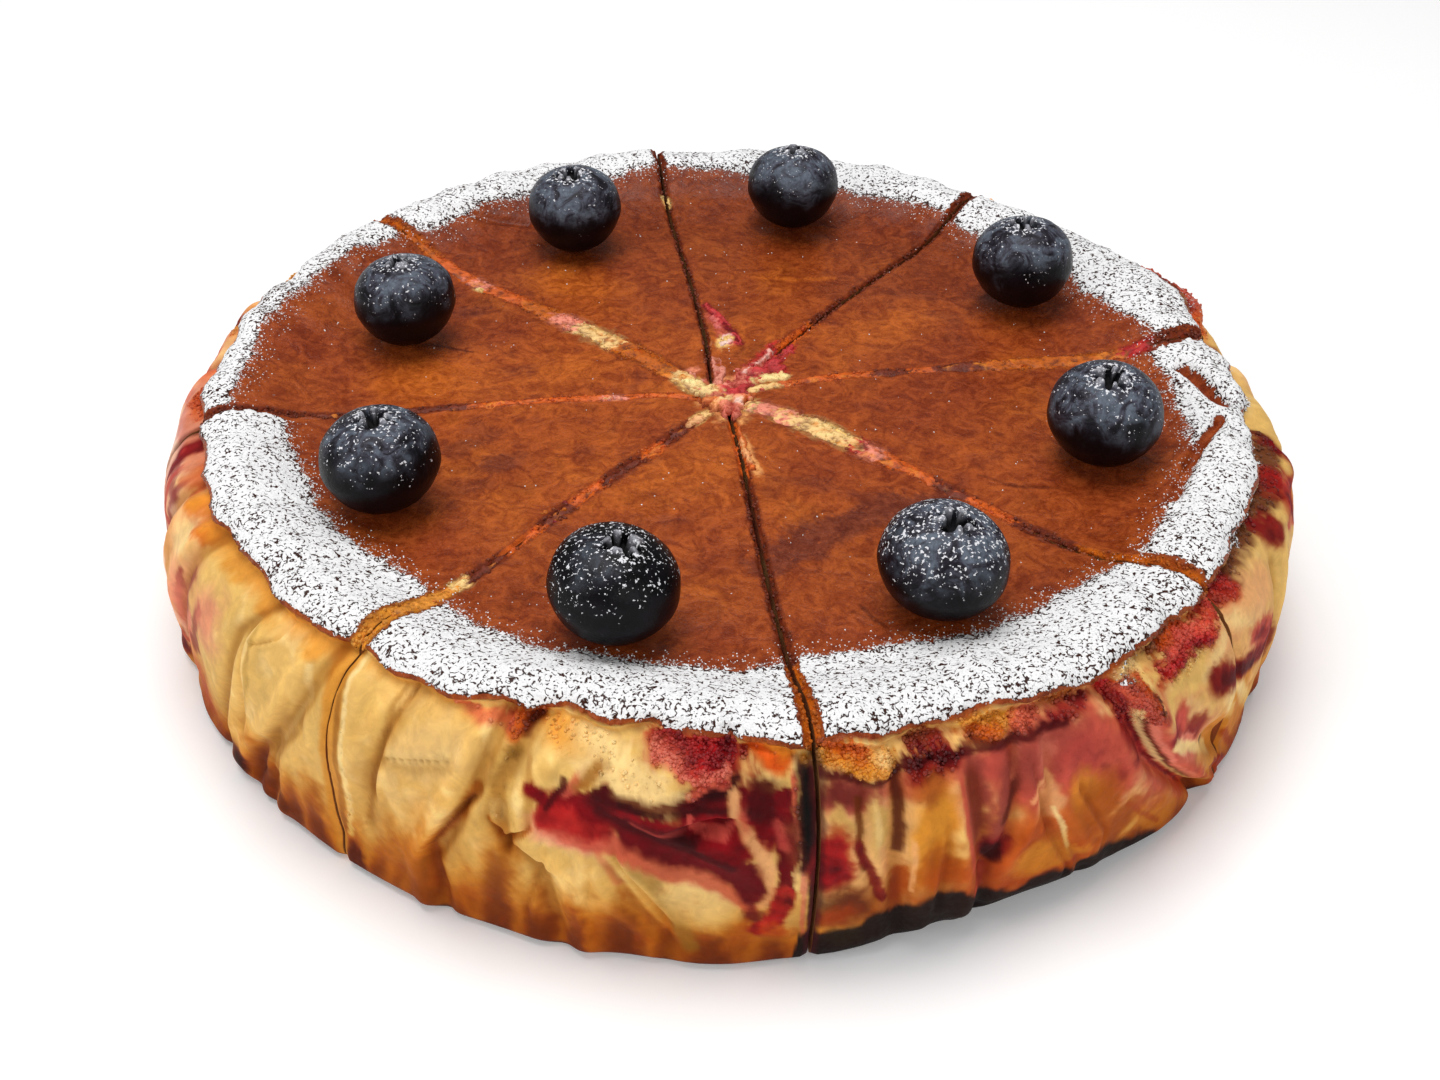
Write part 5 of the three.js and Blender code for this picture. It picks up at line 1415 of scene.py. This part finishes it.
def closed_runs(one):
    """The stretches of a cut that crumbs close."""
    distances = np.arange(*BAND_REACH, BAND_STEP)
    inside = along(one, "shut", distances) > BAND_FROM
    runs, start = [], None
    for i, is_in in enumerate(np.append(inside, False)):
        if is_in and start is None:
            start = i
        if not is_in and start is not None:
            if i - start > SHORTEST_BAND:
                runs.append(distances[start:i])
            start = None
    return runs


def band(heap, one, distances):
    """Crumbs that close a stretch of a cut, as a rough strip lying over it."""
    d, s = np.meshgrid(distances, BAND_SHARES, indexing="ij")
    ends = smooth(0, 2.0, d - distances[0]) * smooth(0, 2.0, distances[-1] - d)
    half = BAND_WIDEN * (along(one, "groove", d) * (0.85 + 0.45 * along(one, "shut", d)) + 0.3)
    probe = np.stack([d, s * 3, 0 * d + 7 * one["toward"]], -1).reshape(-1, 3)
    uneven = FIELD[3](probe, 3.0, 3, 0.6).reshape(d.shape)
    half = half * (1 + 0.35 * uneven) * (0.5 + 0.5 * ends)
    off = along(one, "aside", d) + s * half
    toward = np.radians(one["toward"]) + np.arcsin(np.clip(off / d, -1, 1))
    x, y = CROSSING[0] + d * np.cos(toward), CROSSING[1] + d * np.sin(toward)
    at = np.stack([x.ravel(), y.ravel(), 0 * x.ravel() + TOP_LEVEL], 1)
    rough, tiny = FIELD[4](at, 1.3, 3, 0.6), FIELD[5](at, 0.7, 2)
    rough_at, tiny_at = rough.reshape(x.shape), tiny.reshape(x.shape)
    shut = smooth(BAND_FROM, 0.75, along(one, "shut", d))
    lift = 0.12 + 0.34 * rough_at + 0.12 * tiny_at - 1.1 * np.abs(s) ** 3.2 * (1 + 0.4 * tiny_at)
    lift = lift - 0.9 * (1 - shut) - 0.9 * (1 - ends)
    ground = crust_height(x.ravel(), y.ravel()).reshape(x.shape)
    top = np.stack([x, y, ground + lift], -1)
    left, right = top[:, :1] - [0, 0, 1.2], top[:, -1:] - [0, 0, 1.2]
    loop = np.concatenate([top, right, left], 1)
    rows, columns = loop.shape[:2]
    index = np.arange(rows * columns).reshape(rows, columns)
    after = np.roll(index, -1, 1)
    faces = np.stack([index[:-1], index[1:], after[1:], after[:-1]], -1).reshape(-1, 4).tolist()
    faces.append(tuple(index[0].tolist()))
    faces.append(tuple(index[-1][::-1].tolist()))
    # the cut's tones in patches, with amber spots, dark pores and a rusty border
    away = d.ravel() + 1.6 * rough + 0.8 * tiny + 1.2 * FIELD[6](at, 2.2, 2)
    other = crumb_tones(one, away + 5 * FIELD[7](at, 1.6, 2))
    paint = blend(crumb_tones(one, away), other, smooth(-0.1, 0.4, FIELD[6](at, 1.2, 2)) * 0.7)
    paint = blend(paint, TONES["gold"] * (1, 0.8, 0.6), 0.65 * smooth(0.25, 0.8, FIELD[2](at, 1.8, 3)))
    paint = blend(paint, TONES["rust"], 0.65 * smooth(0.15, 0.6, -rough - 0.4 * tiny))
    paint = blend(paint, TONES["rust"], 0.8 * smooth(0.55, 0.95, np.abs(s).ravel() + 0.3 * tiny))
    paint = paint * (1 + 0.3 * rough + 0.2 * tiny)[:, None] * (1, 0.9, 0.84)
    full = np.zeros((rows, columns, 3))
    full[:, :top.shape[1]] = paint.reshape(rows, top.shape[1], 3)
    full[:, top.shape[1]:] = TONES["rust"]
    heap.add(loop.reshape(-1, 3), faces, full.reshape(-1, 3))


def mash(heap):
    """One rough sheet of crumbs round the crossing, that dips under the crust where nothing lies."""
    (x0, x1), (y0, y1) = MASH_BOX
    x, y = np.meshgrid(np.arange(x0, x1, MASH_STEP), np.arange(y0, y1, MASH_STEP), indexing="ij")
    at = np.stack([x.ravel(), y.ravel(), 0 * x.ravel() + TOP_LEVEL], 1)
    rough, tiny = FIELD[4](at, 1.5, 3, 0.6), FIELD[5](at, 0.8, 2)
    wx = x.ravel() + 0.5 * FIELD[3](at, 2.5, 2) + 0.3 * rough
    wy = y.ravel() + 0.5 * FIELD[6](at, 2.5, 2) + 0.3 * tiny
    paint, stands = np.tile(TONES["rust"], (len(at), 1)), np.zeros(len(at))
    for layer in MASH:
        mask = reach(layer, wx, wy, 1, tiny)
        stands = np.maximum(stands, mask * np.minimum(1, layer["strength"] * 1.2))
        paint = blend(paint, TONES[layer["tone"]], mask)
    distance, direction = from_crossing(at[:, 0], at[:, 1])
    for one in CUTS:  # the cuts that stay open run through it
        turn = turn_from(direction, one["toward"])
        off = distance * np.sin(np.radians(turn)) - along(one, "aside", distance)
        same = np.abs(turn) < CUT_SIDE
        opened = smooth(0.75, 0.35, np.abs(off) + 0.2 * tiny) * same * smooth(3, 7, distance)
        opened = opened * (1 - smooth(0.3, 0.6, along(one, "shut", distance)))
        stands = stands * (1 - opened)
    lift = 0.22 + 0.42 * rough + 0.2 * tiny - 1.5 * (1 - smooth(0, 0.8, stands))
    pore = smooth(0.25, 0.8, -rough - 0.4 * tiny)
    paint = paint * (1 + 0.4 * rough + 0.2 * tiny)[:, None]
    paint = blend(paint, paint * TONES["orange"] * 1.4, 0.75 * pore)
    lift = lift.reshape(x.shape)
    points = np.stack([x, y, crust_height(x.ravel(), y.ravel()).reshape(x.shape) + lift], -1)
    index = np.arange(x.size).reshape(x.shape)
    quads = np.stack([index[:-1, :-1], index[1:, :-1], index[1:, 1:], index[:-1, 1:]], -1).reshape(-1, 4)
    shown = lift.ravel()[quads].max(1) > MASH_SHOWN
    quads = quads[shown]
    kept, renamed = np.unique(quads, return_inverse=True)
    heap.add(points.reshape(-1, 3)[kept], renamed.reshape(quads.shape).tolist(), paint[kept])


def crumb_piece(material):
    heap = Heap(23)
    draw = heap.draw
    for one in CUTS:
        for distances in closed_runs(one):
            band(heap, one, distances)
    mash(heap)
    for tones, x, y, (wide, long), count, size, height in TOP_HEAPS:
        for _ in range(count):
            px, py = x + draw.normal() * wide * 0.5, y + draw.normal() * long * 0.5
            scale = draw.uniform(0.35, 1.0)
            heap.mound(px, py, size * scale, height * (0.4 + 0.6 * scale), tones)
    piece = new_piece("cake_crumbs", np.concatenate(heap.points), heap.faces, [material])
    add_point_values(piece.data, paint=np.clip(np.concatenate(heap.paint), 0, 1))


# ---------------------------------------------------------------- materials
class Wire:
    """A node's output that can be added, taken away and multiplied like a number."""

    def __init__(self, maker, socket):
        self.maker, self.socket = maker, socket

    def math(self, kind, *values):
        return self.maker.make("ShaderNodeMath", dict(operation=kind), *values)

    def __add__(self, other):
        return self.math("ADD", self, other)

    def __radd__(self, other):
        return self.math("ADD", other, self)

    def __sub__(self, other):
        return self.math("SUBTRACT", self, other)

    def __rsub__(self, other):
        return self.math("SUBTRACT", other, self)

    def __mul__(self, other):
        return self.math("MULTIPLY", self, other)

    def __rmul__(self, other):
        return self.math("MULTIPLY", other, self)

    def most(self, other):
        return self.math("MAXIMUM", self, other)

    def size(self):
        return self.math("ABSOLUTE", self)

    def between(self, low, high, new_low=0.0, new_high=1.0):
        settings = dict(interpolation_type="SMOOTHSTEP")
        return self.maker.make("ShaderNodeMapRange", settings, self, low, high, new_low, new_high)


class Maker:
    """Builds one material."""

    def __init__(self, name):
        self.material = bpy.data.materials.new(name)
        self.material.use_nodes = True
        self.tree = self.material.node_tree
        self.shader = self.tree.nodes["Principled BSDF"]

    def put(self, socket, value):
        if isinstance(value, Wire):
            self.tree.links.new(value.socket, socket)
        elif isinstance(value, (tuple, list, np.ndarray)):
            value = [float(v) for v in value]
            if socket.type == "RGBA" and len(value) == 3:
                value.append(1.0)
            socket.default_value = value
        else:
            socket.default_value = value

    def make(self, kind, settings, *values, output=None, **named):
        node = self.tree.nodes.new(kind)
        for key, value in settings.items():
            setattr(node, key, value)
        shown = [socket for socket in node.inputs if socket.enabled]
        for socket, value in zip(shown, values):
            self.put(socket, value)
        for key, value in named.items():
            self.put(node.inputs[key], value)
        outputs = [socket for socket in node.outputs if socket.enabled]
        chosen = node.outputs[output] if output else outputs[0]
        return Wire(self, chosen)

    def mix(self, share, first, second, blend="MIX"):
        settings = dict(data_type="RGBA", blend_type=blend)
        return self.make("ShaderNodeMix", settings, share, first, second)

    def value(self, name):
        return self.make("ShaderNodeAttribute", dict(attribute_name=name), output="Fac")

    def colour(self, name):
        return self.make("ShaderNodeAttribute", dict(attribute_name=name), output="Color")

    def place(self):
        return self.make("ShaderNodeTexCoord", {}, output="Object")

    def noise(self, at, millimetres, detail=3.0, rough=0.5, twist=0.0):
        return self.make("ShaderNodeTexNoise", {}, output="Fac", Vector=at, Scale=1000.0 / millimetres,
                         Detail=detail, Roughness=rough, Distortion=twist)

    def bump(self, height, millimetres, strength=1.0, under=None):
        named = dict(Strength=strength, Distance=millimetres * MM, Height=height)
        if under:
            named["Normal"] = under
        return self.make("ShaderNodeBump", {}, **named)

    def finish(self, **named):
        for key, value in named.items():
            self.put(self.shader.inputs[key.replace("_", " ")], value)
        return self.material


SUGAR = linear((255, 255, 255))
SUGAR_SHADE = linear((236, 235, 236))
# painted shade in the gaps between sugar grains
SUGAR_GAP_SHADE = linear((34, 22, 18))
DARK_TINT, LIGHT_TINT = (0.66, 0.48, 0.40), (1.25, 1.20, 0.96)


def skin_material():
    m = Maker("cake skin")
    at = m.place()
    paint, sugar, gloss = m.colour("paint"), m.value("sugar"), m.value("gloss")
    crumb, wall = m.value("crumb"), m.value("wall")
    swirl = m.noise(at, 4.2, 7.0, 0.66, 1.6)
    fine = m.noise(at, 0.9, 4.0, 0.6, 0.3)
    grain = m.noise(at, 0.7, 3.0, 0.6, 0.8)
    tiny = m.noise(at, 0.3, 2.0, 0.5)
    vein = m.noise(at, 3.0, 4.0, 0.62, 1.2)
    worm = m.noise(at, 0.95, 1.0, 0.4, 0.4)
    broken = m.noise(at, 0.7, 2.0, 0.5)
    # the crust's mottling and wrinkles, and softer ones on the wall
    tint = m.mix(swirl.between(0.32, 0.68), DARK_TINT, LIGHT_TINT)
    mottled = m.mix(1 - wall * 0.75, (1, 1, 1), tint)
    light = m.mix(1.0, paint, mottled, "MULTIPLY")
    deep = m.make("ShaderNodeHueSaturation", {}, Hue=0.495, Saturation=1.15, Value=0.5, Fac=1.0, Color=light)
    fleck = fine.between(0.56, 0.74) * (1 - wall) * 0.4
    light = m.mix(fleck, light, TONES["orange"])
    wrinkle = (vein - 0.5).size().between(0.03, 0.0) * (1 - wall) * 0.5
    pores = fine.between(0.46, 0.3) * (0.5 - wall * 0.4 + crumb * 0.45)
    base = m.mix(pores.most(wrinkle), light, deep)
    # sugar lies where the noise stands above its threshold, with short worm-like gaps; in the gaps of dense
    # sugar the crust is painted dark as shade within the powder
    spread = sugar.between(0.32, 0.4)
    lane = 0.055 + spread * 0.035
    gap = (worm - 0.5).size().between(lane + 0.015, lane - 0.025)
    gap = gap * (broken + spread * 0.08).between(0.495, 0.55)
    lie = (grain * 0.8 + tiny * 0.2).between(sugar - 0.03, sugar + 0.03) * (1 - gap)
    ground = m.mix(sugar.between(0.5, 0.42) * 0.9, base, SUGAR_GAP_SHADE)
    white = m.mix(tiny.between(0.35, 0.65), SUGAR_SHADE, SUGAR)
    dusty = m.mix(sugar.between(0.5, 0.6) * 0.5, white, base)
    colour = m.mix(lie, ground, dusty)
    bare = 0.42 + wall * 0.3 - gloss * 0.16 + fine.between(0.3, 0.7, -0.05, 0.07) + crumb * 0.25
    roughness = bare * (1 - lie) + lie * 0.85
    normal = m.bump(swirl * (1 - wall), 0.4, 0.5)
    normal = m.bump(fine * (0.6 - wall * 0.25 + crumb * 0.65), 0.25, 0.55, normal)
    normal = m.bump(lie + tiny * 0.25 * (1 - wall + crumb), 0.24, 0.7, normal)
    return m.finish(Base_Color=colour, Roughness=roughness, Normal=normal, Specular_IOR_Level=0.15)


def crumb_material():
    m = Maker("cake crumb")
    at = m.place()
    hole = m.noise(at, 1.6, 4.0, 0.6, 0.4)
    blotch = m.noise(at, 11.0, 3.0, 0.5)
    base = m.mix(blotch.between(0.5, 0.62), TONES["pale"], TONES["rose"])
    colour = m.mix(hole.between(0.42, 0.32, 0.0, 0.6), base, TONES["gold"])
    # browner towards the skin, the baked edge; it also serves as painted shade where the cut faces show in the
    # narrow gaps
    out = m.make("ShaderNodeVectorMath", dict(operation="MULTIPLY"), at, (1, 1, 0))
    out = m.make("ShaderNodeVectorMath", dict(operation="LENGTH"), out, output="Value")
    high = m.make("ShaderNodeSeparateXYZ", {}, at, output="Z")
    rim = high.between(0.027, 0.036).most(out.between(0.085, 0.096)).most(high.between(0.003, 0.0))
    colour = m.mix(rim * 0.9, colour, TONES["tan"] * 0.6)
    return m.finish(Base_Color=colour, Roughness=0.75, Normal=m.bump(hole, 0.5, 0.7), Specular_IOR_Level=0.35)


def bit_material():
    m = Maker("loose crumb")
    at = m.place()
    fine = m.noise(at, 0.7, 3.0, 0.6)
    deep = m.make("ShaderNodeHueSaturation", {}, Hue=0.495, Saturation=1.15, Value=0.55, Fac=1.0,
                  Color=m.colour("paint"))
    colour = m.mix(fine.between(0.5, 0.35, 0.0, 0.8), m.colour("paint"), deep)
    return m.finish(Base_Color=colour, Roughness=0.6, Normal=m.bump(fine, 0.3, 0.7), Specular_IOR_Level=0.4)


def berry_material():
    m = Maker("berry skin")
    at = m.place()
    bloom, hole, sugar, leaf = m.value("bloom"), m.value("hole"), m.value("sugar"), m.value("leaf")
    patch = m.noise(at, 4.0, 5.0, 0.62, 1.2)
    fine = m.noise(at, 0.9, 4.0, 0.65, 0.6)
    specks = m.noise(at, 0.55, 2.0, 0.55)
    skin = m.mix(patch.between(0.35, 0.7), linear((6, 6, 8)), linear((16, 12, 18)))
    # the pale bloom's cloud, lighter on the upper side also as painted light from above
    cast = bloom * patch.between(0.36, 0.62, 0.12, 1.0) * fine.between(0.3, 0.66, 0.45, 1.0)
    cloud = m.mix(patch.between(0.4, 0.6), linear((104, 98, 116)), linear((112, 122, 136)))
    dusty = m.mix(cast * 0.85, skin, cloud)
    leafy = m.mix(leaf * fine.between(0.35, 0.6, 0.35, 0.9), dusty, linear((168, 168, 176)))
    dark = m.mix(hole * 0.94, leafy, linear((12, 8, 8)))
    speck = specks.between(0.7 - sugar * 0.24, 0.74 - sugar * 0.24) * sugar.between(0.02, 0.1)
    colour = m.mix(speck * 0.92, dark, linear((240, 240, 244)))
    roughness = 0.34 + cast * 0.3 + speck * 0.2 + hole * 0.3
    normal = m.bump(patch, 0.6, 0.3)
    normal = m.bump(fine + speck * 0.8, 0.16, 0.5, normal)
    return m.finish(Base_Color=colour, Roughness=roughness, Normal=normal, Specular_IOR_Level=0.14)


def sugar_material():
    m = Maker("sugar grain")
    fine = m.noise(m.place(), 0.3, 3.0, 0.6)
    tint = m.mix(fine.between(0.3, 0.7), SUGAR_SHADE, SUGAR)
    return m.finish(Base_Color=tint, Roughness=fine.between(0.3, 0.7, 0.6, 0.85),
                    Normal=m.bump(fine, 0.05, 0.5), Specular_IOR_Level=0.3)


# ---------------------------------------------------------------- strewn crumbs and grains
CRUMB_SHAPE = [
    (0, 0, 1), (0.9, 0, 0.3), (0.3, 0.85, 0.4), (-0.75, 0.5, 0.3), (-0.7, -0.6, 0.45), (0.25, -0.9, 0.2),
    (0.75, 0.6, -0.4), (-0.3, 0.9, -0.5), (-0.95, 0, -0.35), (-0.2, -0.85, -0.5), (0.8, -0.5, -0.45),
    (0, 0, -1),
]
GRAIN_SHAPE = [(0, 0, 1), (0.9, 0.1, 0), (0, 1.1, 0.1), (-1, 0, -0.1), (0.1, -0.8, 0), (0, 0, -0.9)]
LEAST_STREWN = 0.02  # the least amount that still gets a lump


def shape_object(name, points):
    """A small closed lump: a point on top, one or two rings and a point below."""
    count = len(points)
    sides = 5 if count > 6 else 4
    rings = (count - 2) // sides
    faces = []
    for i in range(sides):
        j = (i + 1) % sides
        faces.append((0, 1 + i, 1 + j))
        for k in range(rings - 1):
            a = 1 + k * sides
            faces.extend([(a + i, a + sides + i, a + j), (a + j, a + sides + i, a + sides + j)])
        faces.append((count - 1, count - 1 - sides + j, count - 1 - sides + i))
    mesh = bpy.data.meshes.new(name)
    mesh.from_pydata(points, [], faces)
    return add_object(name, mesh)


def strewing_tree():
    """Strews copies of a lump over a surface, as thickly as its amount says."""
    tree = bpy.data.node_groups.new("strewing", "GeometryNodeTree")
    sockets = {}
    for name, kind in (("Surface", "Geometry"), ("Lump", "Object"), ("Per square metre", "Float"),
                       ("Seed", "Int"), ("Smallest", "Float"), ("Largest", "Float"), ("Material", "Material")):
        sockets[name] = tree.interface.new_socket(name=name, in_out="INPUT", socket_type="NodeSocket" + kind)
    tree.interface.new_socket(name="Strewn", in_out="OUTPUT", socket_type="NodeSocketGeometry")
    given = tree.nodes.new("NodeGroupInput").outputs

    def make(kind, settings, output, **inputs):
        node = tree.nodes.new(kind)
        for key, value in settings.items():
            setattr(node, key, value)
        for key, value in inputs.items():
            socket = next(s for s in node.inputs if s.enabled and s.name == key.replace("_", " "))
            if isinstance(value, bpy.types.NodeSocket):
                tree.links.new(value, socket)
            else:
                socket.default_value = value
        return next(s for s in node.outputs if s.enabled and s.name == output)

    amount = make("GeometryNodeInputNamedAttribute", dict(data_type="FLOAT"), "Attribute", Name="amount")
    density = tree.nodes.new("ShaderNodeMath")
    density.operation = "MULTIPLY"
    tree.links.new(amount, density.inputs[0])
    tree.links.new(given["Per square metre"], density.inputs[1])
    points = make("GeometryNodeDistributePointsOnFaces", {}, "Points", Mesh=given["Surface"],
                  Density=density.outputs[0], Seed=given["Seed"])
    lump = make("GeometryNodeObjectInfo", {}, "Geometry", Object=given["Lump"])
    turn = make("FunctionNodeRandomValue", dict(data_type="FLOAT_VECTOR"), "Value", Max=(6.28, 6.28, 6.28),
                Seed=3)
    size = make("FunctionNodeRandomValue", dict(data_type="FLOAT"), "Value", Min=given["Smallest"],
                Max=given["Largest"], Seed=5)
    copies = make("GeometryNodeInstanceOnPoints", {}, "Instances", Points=points, Instance=lump, Rotation=turn,
                  Scale=size)
    whole = make("GeometryNodeRealizeInstances", {}, "Geometry", Geometry=copies)
    painted = make("GeometryNodeSetMaterial", {}, "Geometry", Geometry=whole, Material=given["Material"])
    tree.links.new(painted, tree.nodes.new("NodeGroupOutput").inputs["Strewn"])
    return tree, {name: socket.identifier for name, socket in sockets.items()}


def strewn_piece(name, amounts, shape, per_mm2, sizes, seed, material):
    """Lumps strewn where the slices' skins hold an amount of them."""
    parts, count = [], 0
    for one in STREWN:
        amount = one[amounts]
        wanted = one["quads"][(amount[one["quads"]] > LEAST_STREWN).any(1)]
        kept, renamed = np.unique(wanted, return_inverse=True)
        quads = renamed.reshape(wanted.shape) + count
        parts.append((one["points"][kept], quads, one["paint"][kept], amount[kept]))
        count += len(kept)
    points, quads, paint, amount = [np.concatenate(part) for part in zip(*parts)]
    mesh = mesh_from(name + " ground", points, quads.tolist())
    add_point_values(mesh, paint=paint, amount=amount)
    ground = add_object(name + " ground", mesh)
    lump = shape_object(name + " lump", shape)
    tree, ids = strewing_tree()
    modifier = ground.modifiers.new("strewing", "NODES")
    modifier.node_group = tree
    for key, value in (("Lump", lump), ("Per square metre", per_mm2 * 1e6), ("Seed", seed),
                       ("Smallest", sizes[0] * MM), ("Largest", sizes[1] * MM), ("Material", material)):
        modifier[ids[key]] = value
    seen = ground.evaluated_get(bpy.context.evaluated_depsgraph_get())
    made = bpy.data.meshes.new_from_object(seen)
    made.name = name
    ground.modifiers.remove(modifier)
    for thing in (ground, lump):
        bpy.data.objects.remove(thing)
    piece = add_object(name, made)
    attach(piece, "root")


# ---------------------------------------------------------------- the cake
skin_and_crumb = [skin_material(), crumb_material()]
bit, berry_skin = bit_material(), berry_material()
for number in range(1, 9):
    slice_piece(number, CUTS[number % 8], CUTS[number - 1], skin_and_crumb)
for number in range(1, 9):
    berry_piece(number, berry_skin)
crumb_piece(bit)
strewn_piece("loose_crumbs", "crumbs", CRUMB_SHAPE, 5.0, (0.14, 0.42), 4, bit)
strewn_piece("sugar_grains", "grains", GRAIN_SHAPE, 1.5, (0.08, 0.2), 9, sugar_material())

# ---------------------------------------------------------------- camera
POLE = Vector((-MIDDLE[0], -MIDDLE[1], 0)) * MM
CAMERA_PLACE = (0.000195, -0.26426, 0.20837)
CAMERA_PITCH, CAMERA_YAW, CAMERA_ROLL = 37.68, -0.07, 1.503  # degrees
FOCAL = 43.69  # on a sensor 36 mm wide

camera_data = bpy.data.cameras.new("camera")
camera_data.sensor_fit = "HORIZONTAL"
camera_data.sensor_width = 36
camera_data.lens = FOCAL
camera_data.clip_start = 0.01
camera = add_object("camera", camera_data)
pitch, yaw, roll = [math.radians(a) for a in (CAMERA_PITCH, CAMERA_YAW, CAMERA_ROLL)]
forward = Vector((math.sin(yaw) * math.cos(pitch), math.cos(yaw) * math.cos(pitch), -math.sin(pitch)))
level = forward.cross(Vector((0, 0, 1))).normalized()
upright = level.cross(forward)
right = level * math.cos(roll) + upright * math.sin(roll)
up = upright * math.cos(roll) - level * math.sin(roll)
turned = Matrix((right, up, -forward)).transposed().to_4x4()
camera.matrix_world = Matrix.Translation(Vector(CAMERA_PLACE) + POLE) @ turned
bpy.context.scene.camera = camera

# ---------------------------------------------------------------- floor and light
FLOOR_HALF = 2.5


def floor():
    mesh = bpy.data.meshes.new("floor")
    h = FLOOR_HALF
    mesh.from_pydata([(-h, -h, 0), (h, -h, 0), (h, h, 0), (-h, h, 0)], [], [(0, 1, 2, 3)])
    m = Maker("pale floor")
    soft = m.noise(m.place(), 60.0, 2.0, 0.5)
    shade = m.mix(soft.between(0.3, 0.7), (0.96, 0.96, 0.96), (0.97, 0.97, 0.97))
    mesh.materials.append(m.finish(Base_Color=shade, Roughness=0.8, Specular_IOR_Level=0.1,
                                   Emission_Color=(1.0, 1.0, 1.0, 1.0), Emission_Strength=0.12))
    thing = add_object("floor", mesh)


def area_light(name, place, size, power, toward=(0, 0, 0.02), colour=(1, 1, 1)):
    data = bpy.data.lights.new(name, "AREA")
    data.shape = "RECTANGLE"
    data.size, data.size_y = size
    data.energy = power
    data.color = colour
    lamp = add_object(name, data)
    lamp.location = place
    lamp.rotation_euler = (Vector(toward) - Vector(place)).to_track_quat("-Z", "Y").to_euler()


floor()
area_light("overhead", (-0.1, 0.1, 1.0), (0.8, 0.6), 8.0)
area_light("left", (-0.75, -0.55, 0.55), (0.5, 0.4), 2.2)
area_light("fill", (0.6, -0.88, 0.55), (0.9, 0.6), 3.0)
world = bpy.data.worlds.new("studio")
bpy.context.scene.world = world
world.use_nodes = True
world.node_tree.nodes["Background"].inputs["Color"].default_value = (1, 1, 1, 1)
world.node_tree.nodes["Background"].inputs["Strength"].default_value = 0.2
bpy.context.scene.view_settings.view_transform = "Standard"
